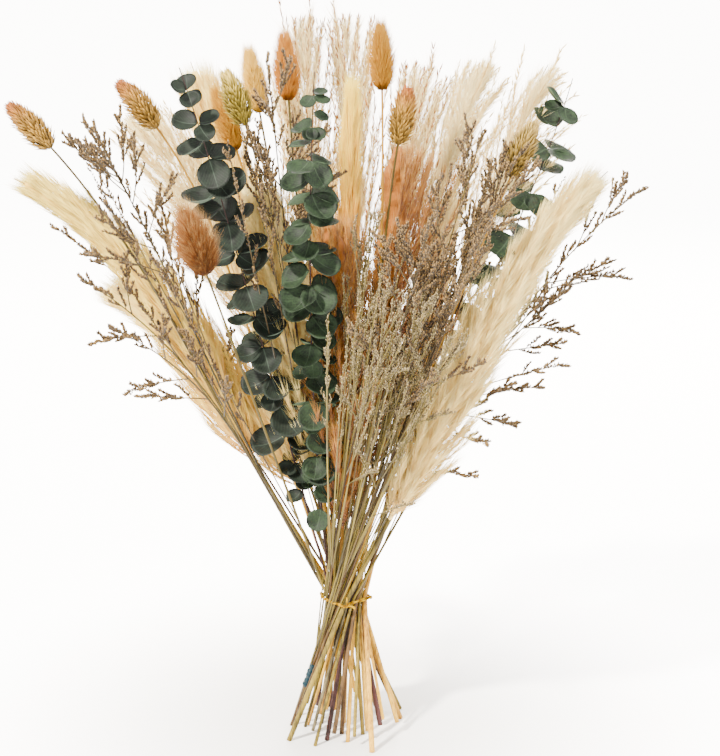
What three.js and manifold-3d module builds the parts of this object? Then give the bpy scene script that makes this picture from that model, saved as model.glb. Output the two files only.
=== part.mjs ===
// A tied bundle of dried pampas grass, reed plumes, eucalyptus, bunny tails, canary grass and sea lavender.
// It stands by itself on its cut stems, which splay out below the tie as the heads fan out above it.
// Millimetres, Z up. The front of the bundle faces -Y, and the origin is the cut end of its middle stem.
import * as THREE from "three";
import { mergeVertices } from "three/addons/utils/BufferGeometryUtils.js";
import Module from "manifold-3d";

const wasm = await Module();
wasm.setup();

// ---- Driving dimensions ----

const TIE = { height: 86, halfWidth: 13.5, halfDepth: 10.8, strand: 1.0 };
const FEET = { halfWidth: 44, halfDepth: 46 }; // the ellipse that the cut ends stand in
const REACH = { halfWidth: 190, halfDepth: 110 }; // a head this far out has its stem at the edge of the tie
const TURN_ABOVE = THREE.MathUtils.degToRad(65); // a stem turns this far round the bundle from head to tie
const TURN_BELOW = THREE.MathUtils.degToRad(60); // and this far on from the tie to the floor
const DROOP_POWER = 6; // how late along a stem its arch comes
const STEM_GAP = 0.4; // clear space between neighbouring stems
const ROOM = 0.4; // clear space between a leaf, twig or tuft and another plant
const MIDDLE_STEM = "pampas_centre";
const PACK_ROUNDS = 1500; // rounds in which the stems are pressed together at the tie
const SETTLE_ROUNDS = 400; // rounds in which stems that touch are moved apart
const LEVEL = 5; // height between the levels at which stems are compared
const TWIG = { root: 0.55, tip: 0.42, steps: 4 }; // a twig's radius at its two ends, and its pieces
const LEAF_THICK = 0.7;
const GOLDEN_ANGLE = THREE.MathUtils.degToRad(137.5);
// The two tall eucalyptus branches at the front, and the sea lavender that flowers only near its tip.
const TALL_LEFT = { pairs: 17, head: 335, leaf: 11, slant: [124, 58], turn: 10 };
const TALL_MIDDLE = { pairs: 18, head: 335, leaf: 10.5, slant: [136, 104] };
const SHORT_SPRAY = { head: 100, twigs: 4, twig: 52 };
const TAPE = { plant: "fluff_far_right", low: 28, high: 42, wall: 0.9, gap: 0.3 };

// stem: radius at the cut end and under the head; head: length of the leafy or flowering stretch;
// core: radius of the solid middle of the head; twigs: branches, with their longest length and lean;
// slant: how far leaves lean from the stem, low down and at the tip; turn: which way the first pair faces.
const KINDS = {
  pampas: { stem: [2.2, 1.6], head: 205, core: 3.2, columns: 6, rings: 18, tuft: 42, lean: 24 },
  terracotta: { stem: [1.8, 1.3], head: 200, core: 2.4, columns: 6, rings: 16, tuft: 40, lean: 24 },
  reed: { stem: [1.7, 0.9], head: 165, core: 0.9, twigs: 6, twig: 105, lean: 13, bead: 0.9 },
  eucalyptus: { stem: [2.0, 0.9], head: 305, core: 0.9, pairs: 12, leaf: 12, slant: [66, 40], turn: 45 },
  bunny: { stem: [1.2, 0.8], head: 40, core: 6.5, columns: 9, rings: 6, tuft: 13, lean: 32 },
  canary: { stem: [1.2, 0.8], head: 34, core: 5.4, columns: 9, rings: 7, tuft: 7, lean: 28 },
  limonium: { stem: [1.4, 0.7], head: 165, core: 0.7, twigs: 5, twig: 62, lean: 48, bead: 2.6 },
  fluff: { stem: [1.3, 0.7], head: 150, core: 0.7, twigs: 5, twig: 44, lean: 38, bead: 2.4 },
};
const COLOURS = {
  pampas: 0xe3d2a8,
  terracotta: 0xc98a5a,
  reed: 0xd9c39a,
  eucalyptus: 0x44584c,
  bunny: 0xc98d55,
  canary: 0xb9965a,
  limonium: 0x8a6a48,
  fluff: 0xb8a279,
  tie: 0xe8a21c,
  tape: 0x1f5c5e,
};

// name, kind, tip [x, y, z], share of its reach that comes in the arch at its end,
// height of its cut end over the floor, and what differs from its kind.
const PLANTS = [
  ["pampas_left", "pampas", [-190, -15, 351], 0.36, 0, { head: 230, rings: 22 }],
  ["pampas_left_low", "pampas", [-151, 34, 277], 0.3, 3, { head: 180 }],
  ["pampas_back_left", "pampas", [-93, 58, 412], 0.05, 0],
  ["pampas_inner", "pampas", [-50, -14, 352], 0.0, 6, { tuft: 34 }],
  ["pampas_centre", "pampas", [6, 12, 406], 0.0, 0],
  ["pampas_right", "pampas", [149, -50, 360], 0.2, 0, { head: 250, rings: 24 }],
  ["pampas_back_right", "pampas", [72, 95, 325], 0.15, 0, { head: 180 }],
  ["terracotta_right", "terracotta", [34, 22, 371], 0.0, 0],
  ["terracotta_middle", "terracotta", [-8, -24, 334], 0.0, 5],
  ["reed_top_left", "reed", [-26, 60, 437], 0.04, 4],
  ["reed_top", "reed", [1, 72, 437], 0.04, 0],
  ["reed_top_right", "reed", [48, 72, 408], 0.1, 7],
  ["reed_right", "reed", [84, 58, 412], 0.12, 0],
  ["reed_far_right", "reed", [126, 62, 410], 0.2, 9],
  ["reed_left", "reed", [-127, 52, 382], 0.16, 0],
  ["reed_back", "reed", [-38, 108, 388], 0.12, 8],
  ["eucalyptus_left", "eucalyptus", [-88, -60, 418], 0.05, 0, TALL_LEFT],
  ["eucalyptus_centre", "eucalyptus", [-14, -74, 417], 0.0, 4, TALL_MIDDLE],
  ["eucalyptus_right", "eucalyptus", [138, 35, 404], -0.1, 0, { pairs: 11, leaf: 10, slant: [110, 80] }],
  ["eucalyptus_back", "eucalyptus", [-26, 98, 335], 0.08, 6, { pairs: 5, head: 210 }],
  ["bunny_front", "bunny", [-83, -105, 346], 0.0, 0, { core: 8, tuft: 15 }],
  ["bunny_top", "bunny", [22, 4, 440], 0.0, 16],
  ["bunny_orange", "bunny", [-34, 14, 433], 0.0, 10],
  ["bunny_left", "bunny", [-75, 0, 403], 0.1, 14],
  ["bunny_cream", "bunny", [-56, 26, 424], 0.0, 9],
  ["bunny_back", "bunny", [8, 112, 345], 0.1, 13],
  ["canary_far_left", "canary", [-187, -38, 396], 0.16, 8],
  ["canary_left", "canary", [-127, -22, 407], 0.32, 12],
  ["canary_middle", "canary", [-66, -28, 414], 0.24, 15],
  ["canary_right", "canary", [109, -34, 386], 0.0, 6],
  ["canary_centre", "canary", [38, -22, 404], 0.2, 11],
  ["canary_back", "canary", [-84, 100, 340], 0.1, 9],
  ["limonium_left_top", "limonium", [-142, -58, 388], 0.12, 0],
  ["limonium_left_edge", "limonium", [-178, 30, 316], 0.22, 7],
  ["limonium_left_mid", "limonium", [-151, -40, 298], 0.2, 4, SHORT_SPRAY],
  ["limonium_left_low", "limonium", [-131, -64, 274], 0.3, 0, SHORT_SPRAY],
  ["limonium_top", "limonium", [-42, -28, 421], 0.05, 9],
  ["limonium_upper_right", "limonium", [78, -62, 384], 0.02, 0],
  ["limonium_mid_right", "limonium", [50, -74, 339], 0.0, 0],
  ["limonium_right", "limonium", [101, -48, 372], 0.08, 12],
  ["limonium_far_right", "limonium", [177, -8, 345], 0.2, 0],
  ["limonium_edge_right", "limonium", [137, 2, 283], 0.18, 6, SHORT_SPRAY],
  ["limonium_low_right", "limonium", [101, -36, 234], 0.15, 3, SHORT_SPRAY],
  ["limonium_back_right", "limonium", [112, 84, 325], 0.12, 7],
  ["fluff_middle", "fluff", [17, -60, 337], 0.0, 10],
  ["fluff_front", "fluff", [32, -86, 299], 0.0, 3],
  ["fluff_right", "fluff", [49, -70, 292], 0.05, 13],
  ["fluff_far_right", "fluff", [68, -72, 268], 0.08, 0],
].map(([name, kind, tip, arch, cut, own = {}], index) => ({
  name,
  kind,
  tip: new THREE.Vector3(...tip),
  arch,
  cut,
  ...KINDS[kind],
  ...own,
  push: new THREE.Vector2(),
  random: seededRandom(index + 1),
}));

// ---- Small helpers ----

function seededRandom(seed) {
  let state = (seed * 7919) | 0;
  return () => {
    state = (state + 0x6d2b79f5) | 0;
    let mixed = Math.imul(state ^ (state >>> 15), 1 | state);
    mixed = (mixed + Math.imul(mixed ^ (mixed >>> 7), 61 | mixed)) ^ mixed;
    return ((mixed ^ (mixed >>> 14)) >>> 0) / 4294967296;
  };
}

const { lerp: mix, clamp, degToRad } = THREE.MathUtils;

function toSolid(geometry) {
  const bare = geometry.clone();
  for (const key of Object.keys(bare.attributes)) if (key !== "position") bare.deleteAttribute(key);
  const merged = mergeVertices(bare, 1e-3);
  return new wasm.Manifold(
    new wasm.Mesh({
      numProp: 3,
      vertProperties: merged.attributes.position.array,
      triVerts: new Uint32Array(merged.index.array),
    }),
  );
}

function toGeometry(solid) {
  const mesh = solid.getMesh();
  return new THREE.BufferGeometry()
    .setAttribute("position", new THREE.BufferAttribute(mesh.vertProperties, 3))
    .setIndex(new THREE.BufferAttribute(mesh.triVerts, 1));
}

// The two directions that a section across a tangent is drawn in.
function acrossOf(tangent) {
  const side = new THREE.Vector3(0, 1, 0).cross(tangent).normalize();
  return [side, new THREE.Vector3().crossVectors(side, tangent).normalize()];
}

// The direction that leans from forward by slant, on the side given by the angle round it.
function leaning(forward, angle, slant) {
  const [side, other] = acrossOf(forward);
  const outward = side.multiplyScalar(Math.sin(angle)).addScaledVector(other, Math.cos(angle));
  return outward.multiplyScalar(Math.sin(slant)).addScaledVector(forward, Math.cos(slant));
}

// ---- Where the stems run ----

function eachPair(visit) {
  for (let i = 0; i < PLANTS.length; i++)
    for (let j = i + 1; j < PLANTS.length; j++) visit(PLANTS[i], PLANTS[j], i, j);
}

// Stem centres at the tie start on the side that their turn gives them and are pressed into a tight bundle.
function packTie() {
  for (const plant of PLANTS) {
    const out = new THREE.Vector2(plant.tip.x / REACH.halfWidth, plant.tip.y / REACH.halfDepth);
    const spread = 1.4 * Math.min(1, out.length()) ** 0.8;
    const angle = out.angle() - TURN_ABOVE;
    plant.slot = new THREE.Vector2(
      Math.cos(angle) * spread * TIE.halfWidth,
      Math.sin(angle) * spread * TIE.halfDepth,
    );
  }
  const squash = TIE.halfWidth / TIE.halfDepth;
  for (let round = 0; round < PACK_ROUNDS; round++) {
    const pull = 0.004 * (1 - round / PACK_ROUNDS);
    const moves = PLANTS.map(({ slot }) => new THREE.Vector2(-slot.x * pull, -slot.y * pull * squash));
    eachPair((a, b, i, j) => {
      const apart = b.slot.clone().sub(a.slot);
      const radii = radiusAt(a, TIE.height) + radiusAt(b, TIE.height);
      const short = radii * 1.06 + STEM_GAP - apart.length();
      if (short <= 0) return;
      apart.normalize().multiplyScalar(short * 0.3);
      moves[i].sub(apart);
      moves[j].add(apart);
    });
    PLANTS.forEach(({ slot }, i) => slot.add(moves[i]));
  }
  PLANTS.forEach(setFoot);
}

function setFoot(plant) {
  const around = new THREE.Vector2(plant.slot.x / TIE.halfWidth, plant.slot.y / TIE.halfDepth);
  around.rotateAround(new THREE.Vector2(), -TURN_BELOW);
  plant.foot = new THREE.Vector2(around.x * FEET.halfWidth, around.y * FEET.halfDepth);
  if (plant.name === MIDDLE_STEM) plant.foot.set(0, 0);
}

// The centre line at height z: straight from the foot to the tie, then leaning out and arching near its tip.
// push bows the middle of the upper part.
function stemAt(plant, z) {
  const { slot, tip, foot, push, arch } = plant;
  if (z < TIE.height) {
    const up = z / TIE.height;
    return new THREE.Vector3(mix(foot.x, slot.x, up), mix(foot.y, slot.y, up), z);
  }
  const s = (z - TIE.height) / (tip.z - TIE.height);
  const run = (1 - arch) * s + arch * s ** DROOP_POWER;
  const bow = 4 * s * (1 - s);
  return new THREE.Vector3(
    mix(slot.x, tip.x, run) + push.x * bow,
    mix(slot.y, tip.y, run) + push.y * bow,
    z,
  );
}

class StemCurve extends THREE.Curve {
  constructor(plant, low, high) {
    super();
    Object.assign(this, { plant, low, high });
  }
  getPoint(share) {
    return stemAt(this.plant, mix(this.low, this.high, share));
  }
}

// The height at which a plant's head begins: its length measured back from the tip along the stem.
function headHeight(plant) {
  const curve = new StemCurve(plant, plant.cut, plant.tip.z);
  return curve.getPointAt(1 - plant.head / curve.getLength()).z;
}

// How thick a plant is at height z: its tapering stem, or the solid middle of its head.
function radiusAt(plant, z) {
  const low = plant.headLow ?? plant.tip.z - plant.head;
  const stem = mix(plant.stem[0], plant.stem[1], clamp(z / low, 0, 1));
  const taped = plant.name === TAPE.plant && z > TAPE.low - 3 && z < TAPE.high + 3;
  if (taped) return stem + TAPE.gap + TAPE.wall;
  const share = (z - low) / (plant.tip.z - low);
  return share > 0 ? Math.max(stem, plant.core * coreShape(plant.kind, share)) : stem;
}

// The outline of a head's solid middle: 0 at its lower end and 1 at its tip.
function coreShape(kind, share) {
  if (kind === "bunny" || kind === "canary") {
    return Math.sqrt(Math.max(0, Math.sin(Math.PI * mix(0.06, 0.97, share))));
  }
  return Math.min(1, 4 * share, 3.2 * (1 - share) + 0.25);
}

// Neighbouring stems that come too close at some height are bowed apart above the tie, footed apart below it.
function settleStems() {
  for (let round = 0; round < SETTLE_ROUNDS; round++) {
    for (const plant of PLANTS) {
      plant.headLow = headHeight(plant);
      plant.line = [];
      for (let k = Math.ceil(plant.cut / LEVEL); k * LEVEL < plant.tip.z; k++) {
        plant.line[k] = { at: stemAt(plant, k * LEVEL), r: radiusAt(plant, k * LEVEL) };
      }
    }
    const moves = PLANTS.map(() => ({ push: new THREE.Vector2(), foot: new THREE.Vector2() }));
    eachPair((a, b, i, j) => {
      const near = { above: { short: 0 }, below: { short: 0 } };
      a.line.forEach((pa, k) => {
        const pb = b.line[k];
        if (!pb) return;
        const apart = new THREE.Vector2(pb.at.x - pa.at.x, pb.at.y - pa.at.y);
        const short = (pa.r + pb.r) * 1.12 + STEM_GAP - apart.length();
        const side = k * LEVEL > TIE.height ? near.above : near.below;
        if (short > side.short) Object.assign(side, { short, apart, z: k * LEVEL });
      });
      for (const [key, side] of Object.entries(near)) {
        if (!side.short || Math.abs(side.z - TIE.height) < 4) continue;
        const move = side.apart.normalize().multiplyScalar(Math.min(side.short, 3) * 0.25);
        const field = key === "above" ? "push" : "foot";
        moves[i][field].sub(move);
        moves[j][field].add(move);
      }
    });
    PLANTS.forEach((plant, i) => {
      plant.push.add(moves[i].push);
      if (plant.name !== MIDDLE_STEM) plant.foot.add(moves[i].foot);
    });
  }
}

// ---- What takes up room ----

// Round things are { plant, from, to, r } and leaves are { plant, centre, normal, radius, r }.
const crowd = [];

function take(thing) {
  const middle = thing.centre ?? thing.from.clone().lerp(thing.to, 0.5);
  const reach = (thing.radius ?? thing.from.distanceTo(thing.to) / 2) + thing.r;
  crowd.push({ ...thing, middle, reach });
}

const toPoint = new THREE.Vector3();
const along = new THREE.Vector3();

function gapTo(point, thing) {
  if (thing.normal) {
    toPoint.subVectors(point, thing.centre);
    const height = Math.abs(toPoint.dot(thing.normal));
    const flat = Math.sqrt(Math.max(0, toPoint.lengthSq() - height ** 2));
    return Math.hypot(height, Math.max(0, flat - thing.radius)) - thing.r;
  }
  along.subVectors(thing.to, thing.from);
  toPoint.subVectors(point, thing.from);
  const share = clamp(toPoint.dot(along) / Math.max(along.lengthSq(), 1e-9), 0, 1);
  return toPoint.addScaledVector(along, -share).length() - thing.r;
}

// Whether every point is clear of every other plant, with room round it that goes from one radius to another.
function isClear(plant, points, firstRadius, lastRadius = firstRadius) {
  for (const thing of crowd) {
    if (thing.plant === plant) continue;
    for (let i = 0; i < points.length; i++) {
      const room = mix(firstRadius, lastRadius, i / (points.length - 1)) + ROOM;
      if (points[i].distanceTo(thing.middle) > thing.reach + room) continue;
      if (gapTo(points[i], thing) < room) return false;
    }
  }
  return true;
}

// Points over a disc, in rings no further apart than step.
function pointsOnDisc(centre, way, across, radius, step = 3) {
  const points = [centre];
  for (let ring = radius; ring > step / 2; ring -= step) {
    const count = Math.ceil((2 * Math.PI * ring) / step);
    for (let k = 0; k < count; k++) {
      const turned = (k * 2 * Math.PI) / count;
      const point = centre.clone().addScaledVector(way, ring * Math.cos(turned));
      points.push(point.addScaledVector(across, ring * Math.sin(turned)));
    }
  }
  return points;
}

// Points along a polyline, no further apart than step.
function pointsAlong(line, step = 1.5) {
  const points = [line[0]];
  for (let i = 1; i < line.length; i++) {
    const count = Math.ceil(line[i].distanceTo(line[i - 1]) / step);
    for (let k = 1; k <= count; k++) points.push(line[i - 1].clone().lerp(line[i], k / count));
  }
  return points;
}

// ---- Solids ----

// A closed tube through rings { centre, forward, r }, made by bending a cylinder. raise may lift the points
// of its wall: it is called with the column and ring of each, its outward and forward ways, and its place.
function tubeThrough(rings, sides, raise = null, twist = 0) {
  const steps = rings.length - 1;
  const tube = new THREE.CylinderGeometry(1, 1, 1, sides, steps);
  const position = tube.attributes.position;
  for (let i = 0; i < position.count; i++) {
    const index = Math.round((position.getY(i) + 0.5) * steps);
    const { centre, forward, r } = rings[index];
    const [side, other] = acrossOf(forward);
    const point = centre.clone();
    const onWall = Math.hypot(position.getX(i), position.getZ(i)) > 0.5;
    if (onWall) {
      const around = Math.atan2(position.getX(i), position.getZ(i)) / (2 * Math.PI);
      const column = Math.round((around + 1) * sides) % sides;
      const angle = ((column + twist * index) * 2 * Math.PI) / sides;
      const outward = side.multiplyScalar(Math.sin(angle)).addScaledVector(other, Math.cos(angle));
      point.addScaledVector(outward, r);
      if (raise) raise({ column, index, outward, forward, point });
    } else if (raise && index === steps) {
      raise({ column: -1, index, outward: null, forward, point });
    }
    position.setXYZ(i, point.x, point.y, point.z);
  }
  return toSolid(tube);
}

const UP = new THREE.Vector3(0, 0, 1);

function stemSides(plant) {
  return plant.stem[0] > 1.4 ? 4 : 3;
}

// The rings of a stem: its foot, the tie, a few up to the head and, where the head grows on it, to the tip.
function stemRings(plant) {
  const { cut, headLow, tip, kind, stem } = plant;
  const tufted = KINDS[kind].tuft > 0;
  const heights = [cut, TIE.height];
  const upper = tufted ? headLow + 5 : headLow;
  const bends = plant.push.length() > 1.5 || plant.arch >= 0.1 ? 4 : 2;
  for (let k = 1; k <= bends; k++) heights.push(mix(TIE.height, upper, 1 - (1 - k / bends) ** 1.2));
  const headSteps = plant.arch > 0.1 ? 6 : 4;
  if (!tufted)
    for (let k = 1; k <= headSteps; k++) heights.push(mix(headLow, tip.z, 1 - (1 - k / headSteps) ** 1.3));
  return heights.map((z) => {
    const centre = stemAt(plant, z);
    const forward = stemAt(plant, Math.min(z + 0.5, tip.z)).sub(stemAt(plant, z - 0.5)).normalize();
    const share = clamp((z - headLow) / (tip.z - headLow), 0, 1);
    const r = share > 0 ? mix(stem[1], 0.45, share) : mix(stem[0], stem[1], clamp(z / headLow, 0, 1));
    return { centre, forward: z === 0 ? UP : forward, r };
  });
}

// The point of a stem's own rings at height z, so that what grows from it is sunk into its middle.
function onStem(plant, z) {
  plant.rings ??= stemRings(plant);
  const upper = plant.rings.findIndex(({ centre }) => centre.z >= z);
  const [below, above] = [plant.rings[upper - 1].centre, plant.rings[upper].centre];
  const share = (z - below.z) / (above.z - below.z);
  return { root: below.clone().lerp(above, share), forward: above.clone().sub(below).normalize() };
}

// How far a head's tufts stand out, from its lower end to its tip.
function tuftShape(kind, share) {
  if (kind === "bunny") return mix(0.75, 1, share);
  if (kind === "canary") return 1;
  return Math.min(1, 0.3 + 2.4 * share) * mix(1.05, 0.72, share);
}

// A head whose surface is raised into tufts. Every third point of its lattice is drawn out and forward, so
// that no two tufts share an edge. A tuft that would touch another plant is shortened.
function tuftedHead(plant) {
  const { kind, headLow, tip, head, core, columns, rings, tuft, lean, random } = plant;
  const curve = new StemCurve(plant, headLow, tip.z);
  const solidShare = 1 - (0.62 * tuft) / head;
  const circles = Array.from({ length: rings + 1 }, (_, k) => {
    const share = k / rings;
    const centre = curve.getPointAt(share * solidShare);
    return { centre, forward: curve.getTangentAt(share * solidShare), r: core * coreShape(kind, share) };
  });
  const width = (2 * Math.PI * core) / columns;
  const chances = Array.from({ length: columns * (rings + 1) }, random);
  const tips = new Map();
  const raise = ({ column, index, outward, forward, point }) => {
    if (column < 0) return point.addScaledVector(forward, tuft * 0.5);
    if (index === 0 || index === rings || (column + index) % 3) return point;
    const key = column + columns * index;
    if (!tips.has(key)) {
      const share = index / rings;
      const slant = degToRad(lean * mix(1.15, 0.6, share));
      const way = outward.clone().multiplyScalar(Math.sin(slant)).addScaledVector(forward, Math.cos(slant));
      const ahead = (1 - share * solidShare) * head + 2;
      let length = Math.min(tuft * tuftShape(kind, share) * mix(0.8, 1.15, chances[key]), ahead);
      const tipAt = () => point.clone().addScaledVector(way, length);
      const feet = [-1, 0, 1].map((side) =>
        point.clone().addScaledVector(forward, (side * head * solidShare) / rings),
      );
      const fits = () =>
        feet.every((foot) => isClear(plant, pointsAlong([foot, tipAt()]), width * 0.8, 0.5));
      while (length > 1 && !fits()) length *= 0.75;
      if (length <= 1) length = 0;
      tips.set(key, tipAt());
      if (length > 0) take({ plant, from: point.clone(), to: tipAt(), r: width * 0.35 });
    }
    return point.copy(tips.get(key));
  };
  return tubeThrough(circles, columns, raise, -0.5);
}

// A branch that carries beads, which are seeds on a reed and florets on sea lavender. It bends from its first
// direction to its second, and every third point of its wall is raised into a bead.
function beadedTwig(plant, root, first, second, length) {
  const { bead } = plant;
  const { steps } = TWIG;
  const curve = new THREE.QuadraticBezierCurve3(
    root,
    root.clone().addScaledVector(first, length * 0.5),
    root
      .clone()
      .addScaledVector(first, length * 0.5)
      .addScaledVector(second, length * 0.5),
  );
  const circles = Array.from({ length: steps + 1 }, (_, k) => ({
    centre: curve.getPointAt(k / steps),
    forward: curve.getTangentAt(k / steps),
    r: mix(TWIG.root, TWIG.tip, k / steps),
  }));
  const raise = ({ column, index, outward, forward, point }) => {
    if (column < 0 || index === 0 || index === steps || (column + index) % 3) return;
    point.addScaledVector(outward, bead).addScaledVector(forward, bead * 1.2);
  };
  return { line: circles.map(({ centre }) => centre), make: () => tubeThrough(circles, 3, raise, -0.5) };
}

// Twigs stand round the stem by the golden angle. One that would touch another plant is turned or shortened.
function twiggedHead(plant) {
  const { headLow, tip, twigs, twig, lean, bead, kind, random } = plant;
  const parts = [];
  for (let k = 0; k < twigs; k++) {
    const share = (k + 0.3) / (twigs + 1);
    const z = mix(headLow, tip.z, share);
    const { root, forward } = onStem(plant, z);
    const ahead = (1.08 - share) * plant.head;
    const full = Math.min(twig * mix(1, 0.5, share) * mix(0.85, 1.15, random()), ahead);
    const start = k * GOLDEN_ANGLE + random();
    const reach = TWIG.root + bead;
    let placed = null;
    for (let attempt = 0; attempt < 40 && !placed; attempt++) {
      const angle = start + attempt * degToRad(26);
      const length = full * 0.8 ** Math.floor(attempt / 10);
      const facet = (2 * Math.PI) / stemSides(plant);
      const flat = facet * (Math.floor(angle / facet) + 0.5);
      const [first, second] = kind === "reed" ? [1.5, 0.5] : [0.8, 1.2];
      const made = beadedTwig(
        plant,
        root,
        leaning(forward, flat, degToRad(lean * first)),
        leaning(forward, angle, degToRad(lean * second)),
        length,
      );
      if (isClear(plant, pointsAlong(made.line), reach)) placed = made;
    }
    if (!placed) continue;
    for (let i = 1; i < placed.line.length; i++)
      take({ plant, from: placed.line[i - 1], to: placed.line[i], r: reach });
    parts.push(placed.make());
  }
  return parts;
}

// A round leaf, a shallow cup whose near edge is sunk into the stem.
function leafSolid(root, way, across, size) {
  const normal = new THREE.Vector3().crossVectors(way, across);
  const blade = new THREE.CylinderGeometry(1, 1, LEAF_THICK, 7, 1);
  const position = blade.attributes.position;
  for (let i = 0; i < position.count; i++) {
    const [y, z] = [position.getY(i), position.getZ(i)];
    const x = position.getX(i) * (z < -0.8 ? 0.2 : 1);
    const cup = 0.2 * size * (x * x + z * z - 1) * (z < -0.8 ? 0 : 1);
    const point = root.clone().addScaledVector(way, 0.25 + size * (z < -0.8 ? 0 : 0.95 + 0.95 * z));
    point.addScaledVector(across, size * x);
    point.addScaledVector(normal, y + cup);
    position.setXYZ(i, point.x, point.y, point.z);
  }
  return toSolid(blade);
}

// Pairs of leaves, each pair a quarter turn on from the last, small at the tip.
function leafyHead(plant) {
  const { headLow, tip, pairs, leaf, slant: [lowSlant, tipSlant], turn: firstTurn, random } = plant;
  const parts = [];
  for (let k = 0; k < pairs; k++) {
    const share = (k + 0.4) / pairs;
    const z = mix(headLow, tip.z, share);
    const { root, forward } = onStem(plant, z);
    const size = leaf * Math.min(0.8 + share, 1, 0.5 + 2.4 * (1 - share)) * mix(0.92, 1.08, random());
    const turn = degToRad(firstTurn + 90 * (k % 2) + mix(-8, 8, random()));
    for (const half of [0, Math.PI]) {
      let placed = null;
      for (let attempt = 0; attempt < 36 && !placed; attempt++) {
        const swing = degToRad([0, 14, -14, 28, -28, 0][attempt % 6]);
        const slant = degToRad(mix(lowSlant, tipSlant, share) - 9 * Math.floor((attempt % 18) / 6));
        const fit = size * 0.82 ** Math.floor(attempt / 18) * (attempt > 30 ? 0.7 : 1);
        const angle = turn + half + swing;
        const way = leaning(forward, angle, slant);
        const across = new THREE.Vector3().crossVectors(forward, way).normalize();
        const normal = new THREE.Vector3().crossVectors(way, across);
        const centre = root.clone().addScaledVector(way, fit * 0.95).addScaledVector(normal, fit * -0.1);
        const r = LEAF_THICK / 2 + fit * 0.1;
        if (!isClear(plant, pointsOnDisc(centre, way, across, fit), r)) continue;
        placed = { way, across, disc: { plant, centre, normal, radius: fit, r } };
      }
      if (!placed) continue;
      take(placed.disc);
      parts.push(leafSolid(root, placed.way, placed.across, placed.disc.radius));
    }
  }
  return parts;
}

// ---- The tie and the tape ----

// A twisted two-strand tie, closed round the outline of all the stems.
function tieSolid() {
  const levels = [TIE.height - 2, TIE.height, TIE.height + 2];
  const outline = PLANTS.flatMap((plant) =>
    levels.map((z) => ({ at: stemAt(plant, z), r: radiusAt(plant, z) })),
  );
  const furthest = (way) =>
    outline.reduce((best, { at, r }) => {
      const edge = at.clone().addScaledVector(way, r);
      return !best || edge.dot(way) > best.dot(way) ? edge : best;
    }, null);
  const around = 36;
  const sides = 5;
  const ring = new THREE.TorusGeometry(10, 1, sides, around);
  const position = ring.attributes.position;
  for (let i = 0; i < position.count; i++) {
    const turn = ((i % (around + 1)) % around) * ((2 * Math.PI) / around);
    const tilt = (Math.floor(i / (around + 1)) % sides) * ((2 * Math.PI) / sides);
    const way = new THREE.Vector3(Math.cos(turn), Math.sin(turn), 0);
    const r = TIE.strand * (1 + 0.25 * Math.cos(2 * tilt - 10 * turn));
    const outside = STEM_GAP + TIE.strand * 1.25 + r * Math.cos(tilt);
    const point = furthest(way).addScaledVector(way, outside);
    position.setXYZ(i, point.x, point.y, TIE.height + r * Math.sin(tilt));
  }
  return toSolid(ring);
}

// A short sleeve of tape round one stem.
function tapeSolid() {
  const plant = PLANTS.find(({ name }) => name === TAPE.plant);
  const sleeve = (low, high, extra) =>
    tubeThrough(
      [low, high].map((z) => {
        const forward = stemAt(plant, z + 0.5).sub(stemAt(plant, z)).normalize();
        return { centre: stemAt(plant, z), forward, r: mix(...plant.stem, z / plant.headLow) + extra };
      }),
      8,
    );
  const { low, high, wall, gap } = TAPE;
  return sleeve(low, high, gap + wall).subtract(sleeve(low - 2, high + 2, gap));
}

// ---- The bundle ----

const bundle = new THREE.Group();

function addPiece(name, kind, parts) {
  const solid = wasm.Manifold.union(parts);
  const material = new THREE.MeshStandardMaterial({ color: COLOURS[kind], roughness: 0.9, metalness: 0 });
  const mesh = new THREE.Mesh(toGeometry(solid), material);
  mesh.name = name;
  bundle.add(mesh);
}

function registerStem(plant) {
  const rings = stemRings(plant);
  for (let i = 1; i < rings.length; i++)
    take({ plant, from: rings[i - 1].centre, to: rings[i].centre, r: Math.max(rings[i - 1].r, rings[i].r) });
  if (!plant.tuft) return;
  const low = plant.headLow;
  const steps = 8;
  for (let k = 0; k < steps; k++) {
    const [from, to] = [k, k + 1].map((n) => stemAt(plant, mix(low, plant.tip.z, (n / steps) * 0.95)));
    take({ plant, from, to, r: plant.core });
  }
}

packTie();
settleStems();
PLANTS.forEach(registerStem);
const heads = new Map();
const makers = { pairs: leafyHead, twigs: twiggedHead, tuft: (plant) => [tuftedHead(plant)] };
for (const [field, make] of Object.entries(makers))
  for (const plant of PLANTS) if (plant[field]) heads.set(plant, make(plant));
for (const plant of PLANTS) {
  addPiece(plant.name, plant.kind, [tubeThrough(stemRings(plant), stemSides(plant)), ...heads.get(plant)]);
}
addPiece("tie", "tie", [tieSolid()]);
addPiece("tape", "tape", [tapeSolid()]);

export default bundle;
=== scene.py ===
# %% [markdown]
# # A standing bundle of dried pampas grass
#
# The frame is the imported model: forty-eight plants, each with its stem and a coarse head, a tie and a wrap.
# This lesson dresses it. Every coarse head is replaced by the hairs, florets, scales or leaves that the
# real plant has, placed on the line that the frame gives. Lengths are in millimetres until a mesh is made.

# %% Load the frame
import math

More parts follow.
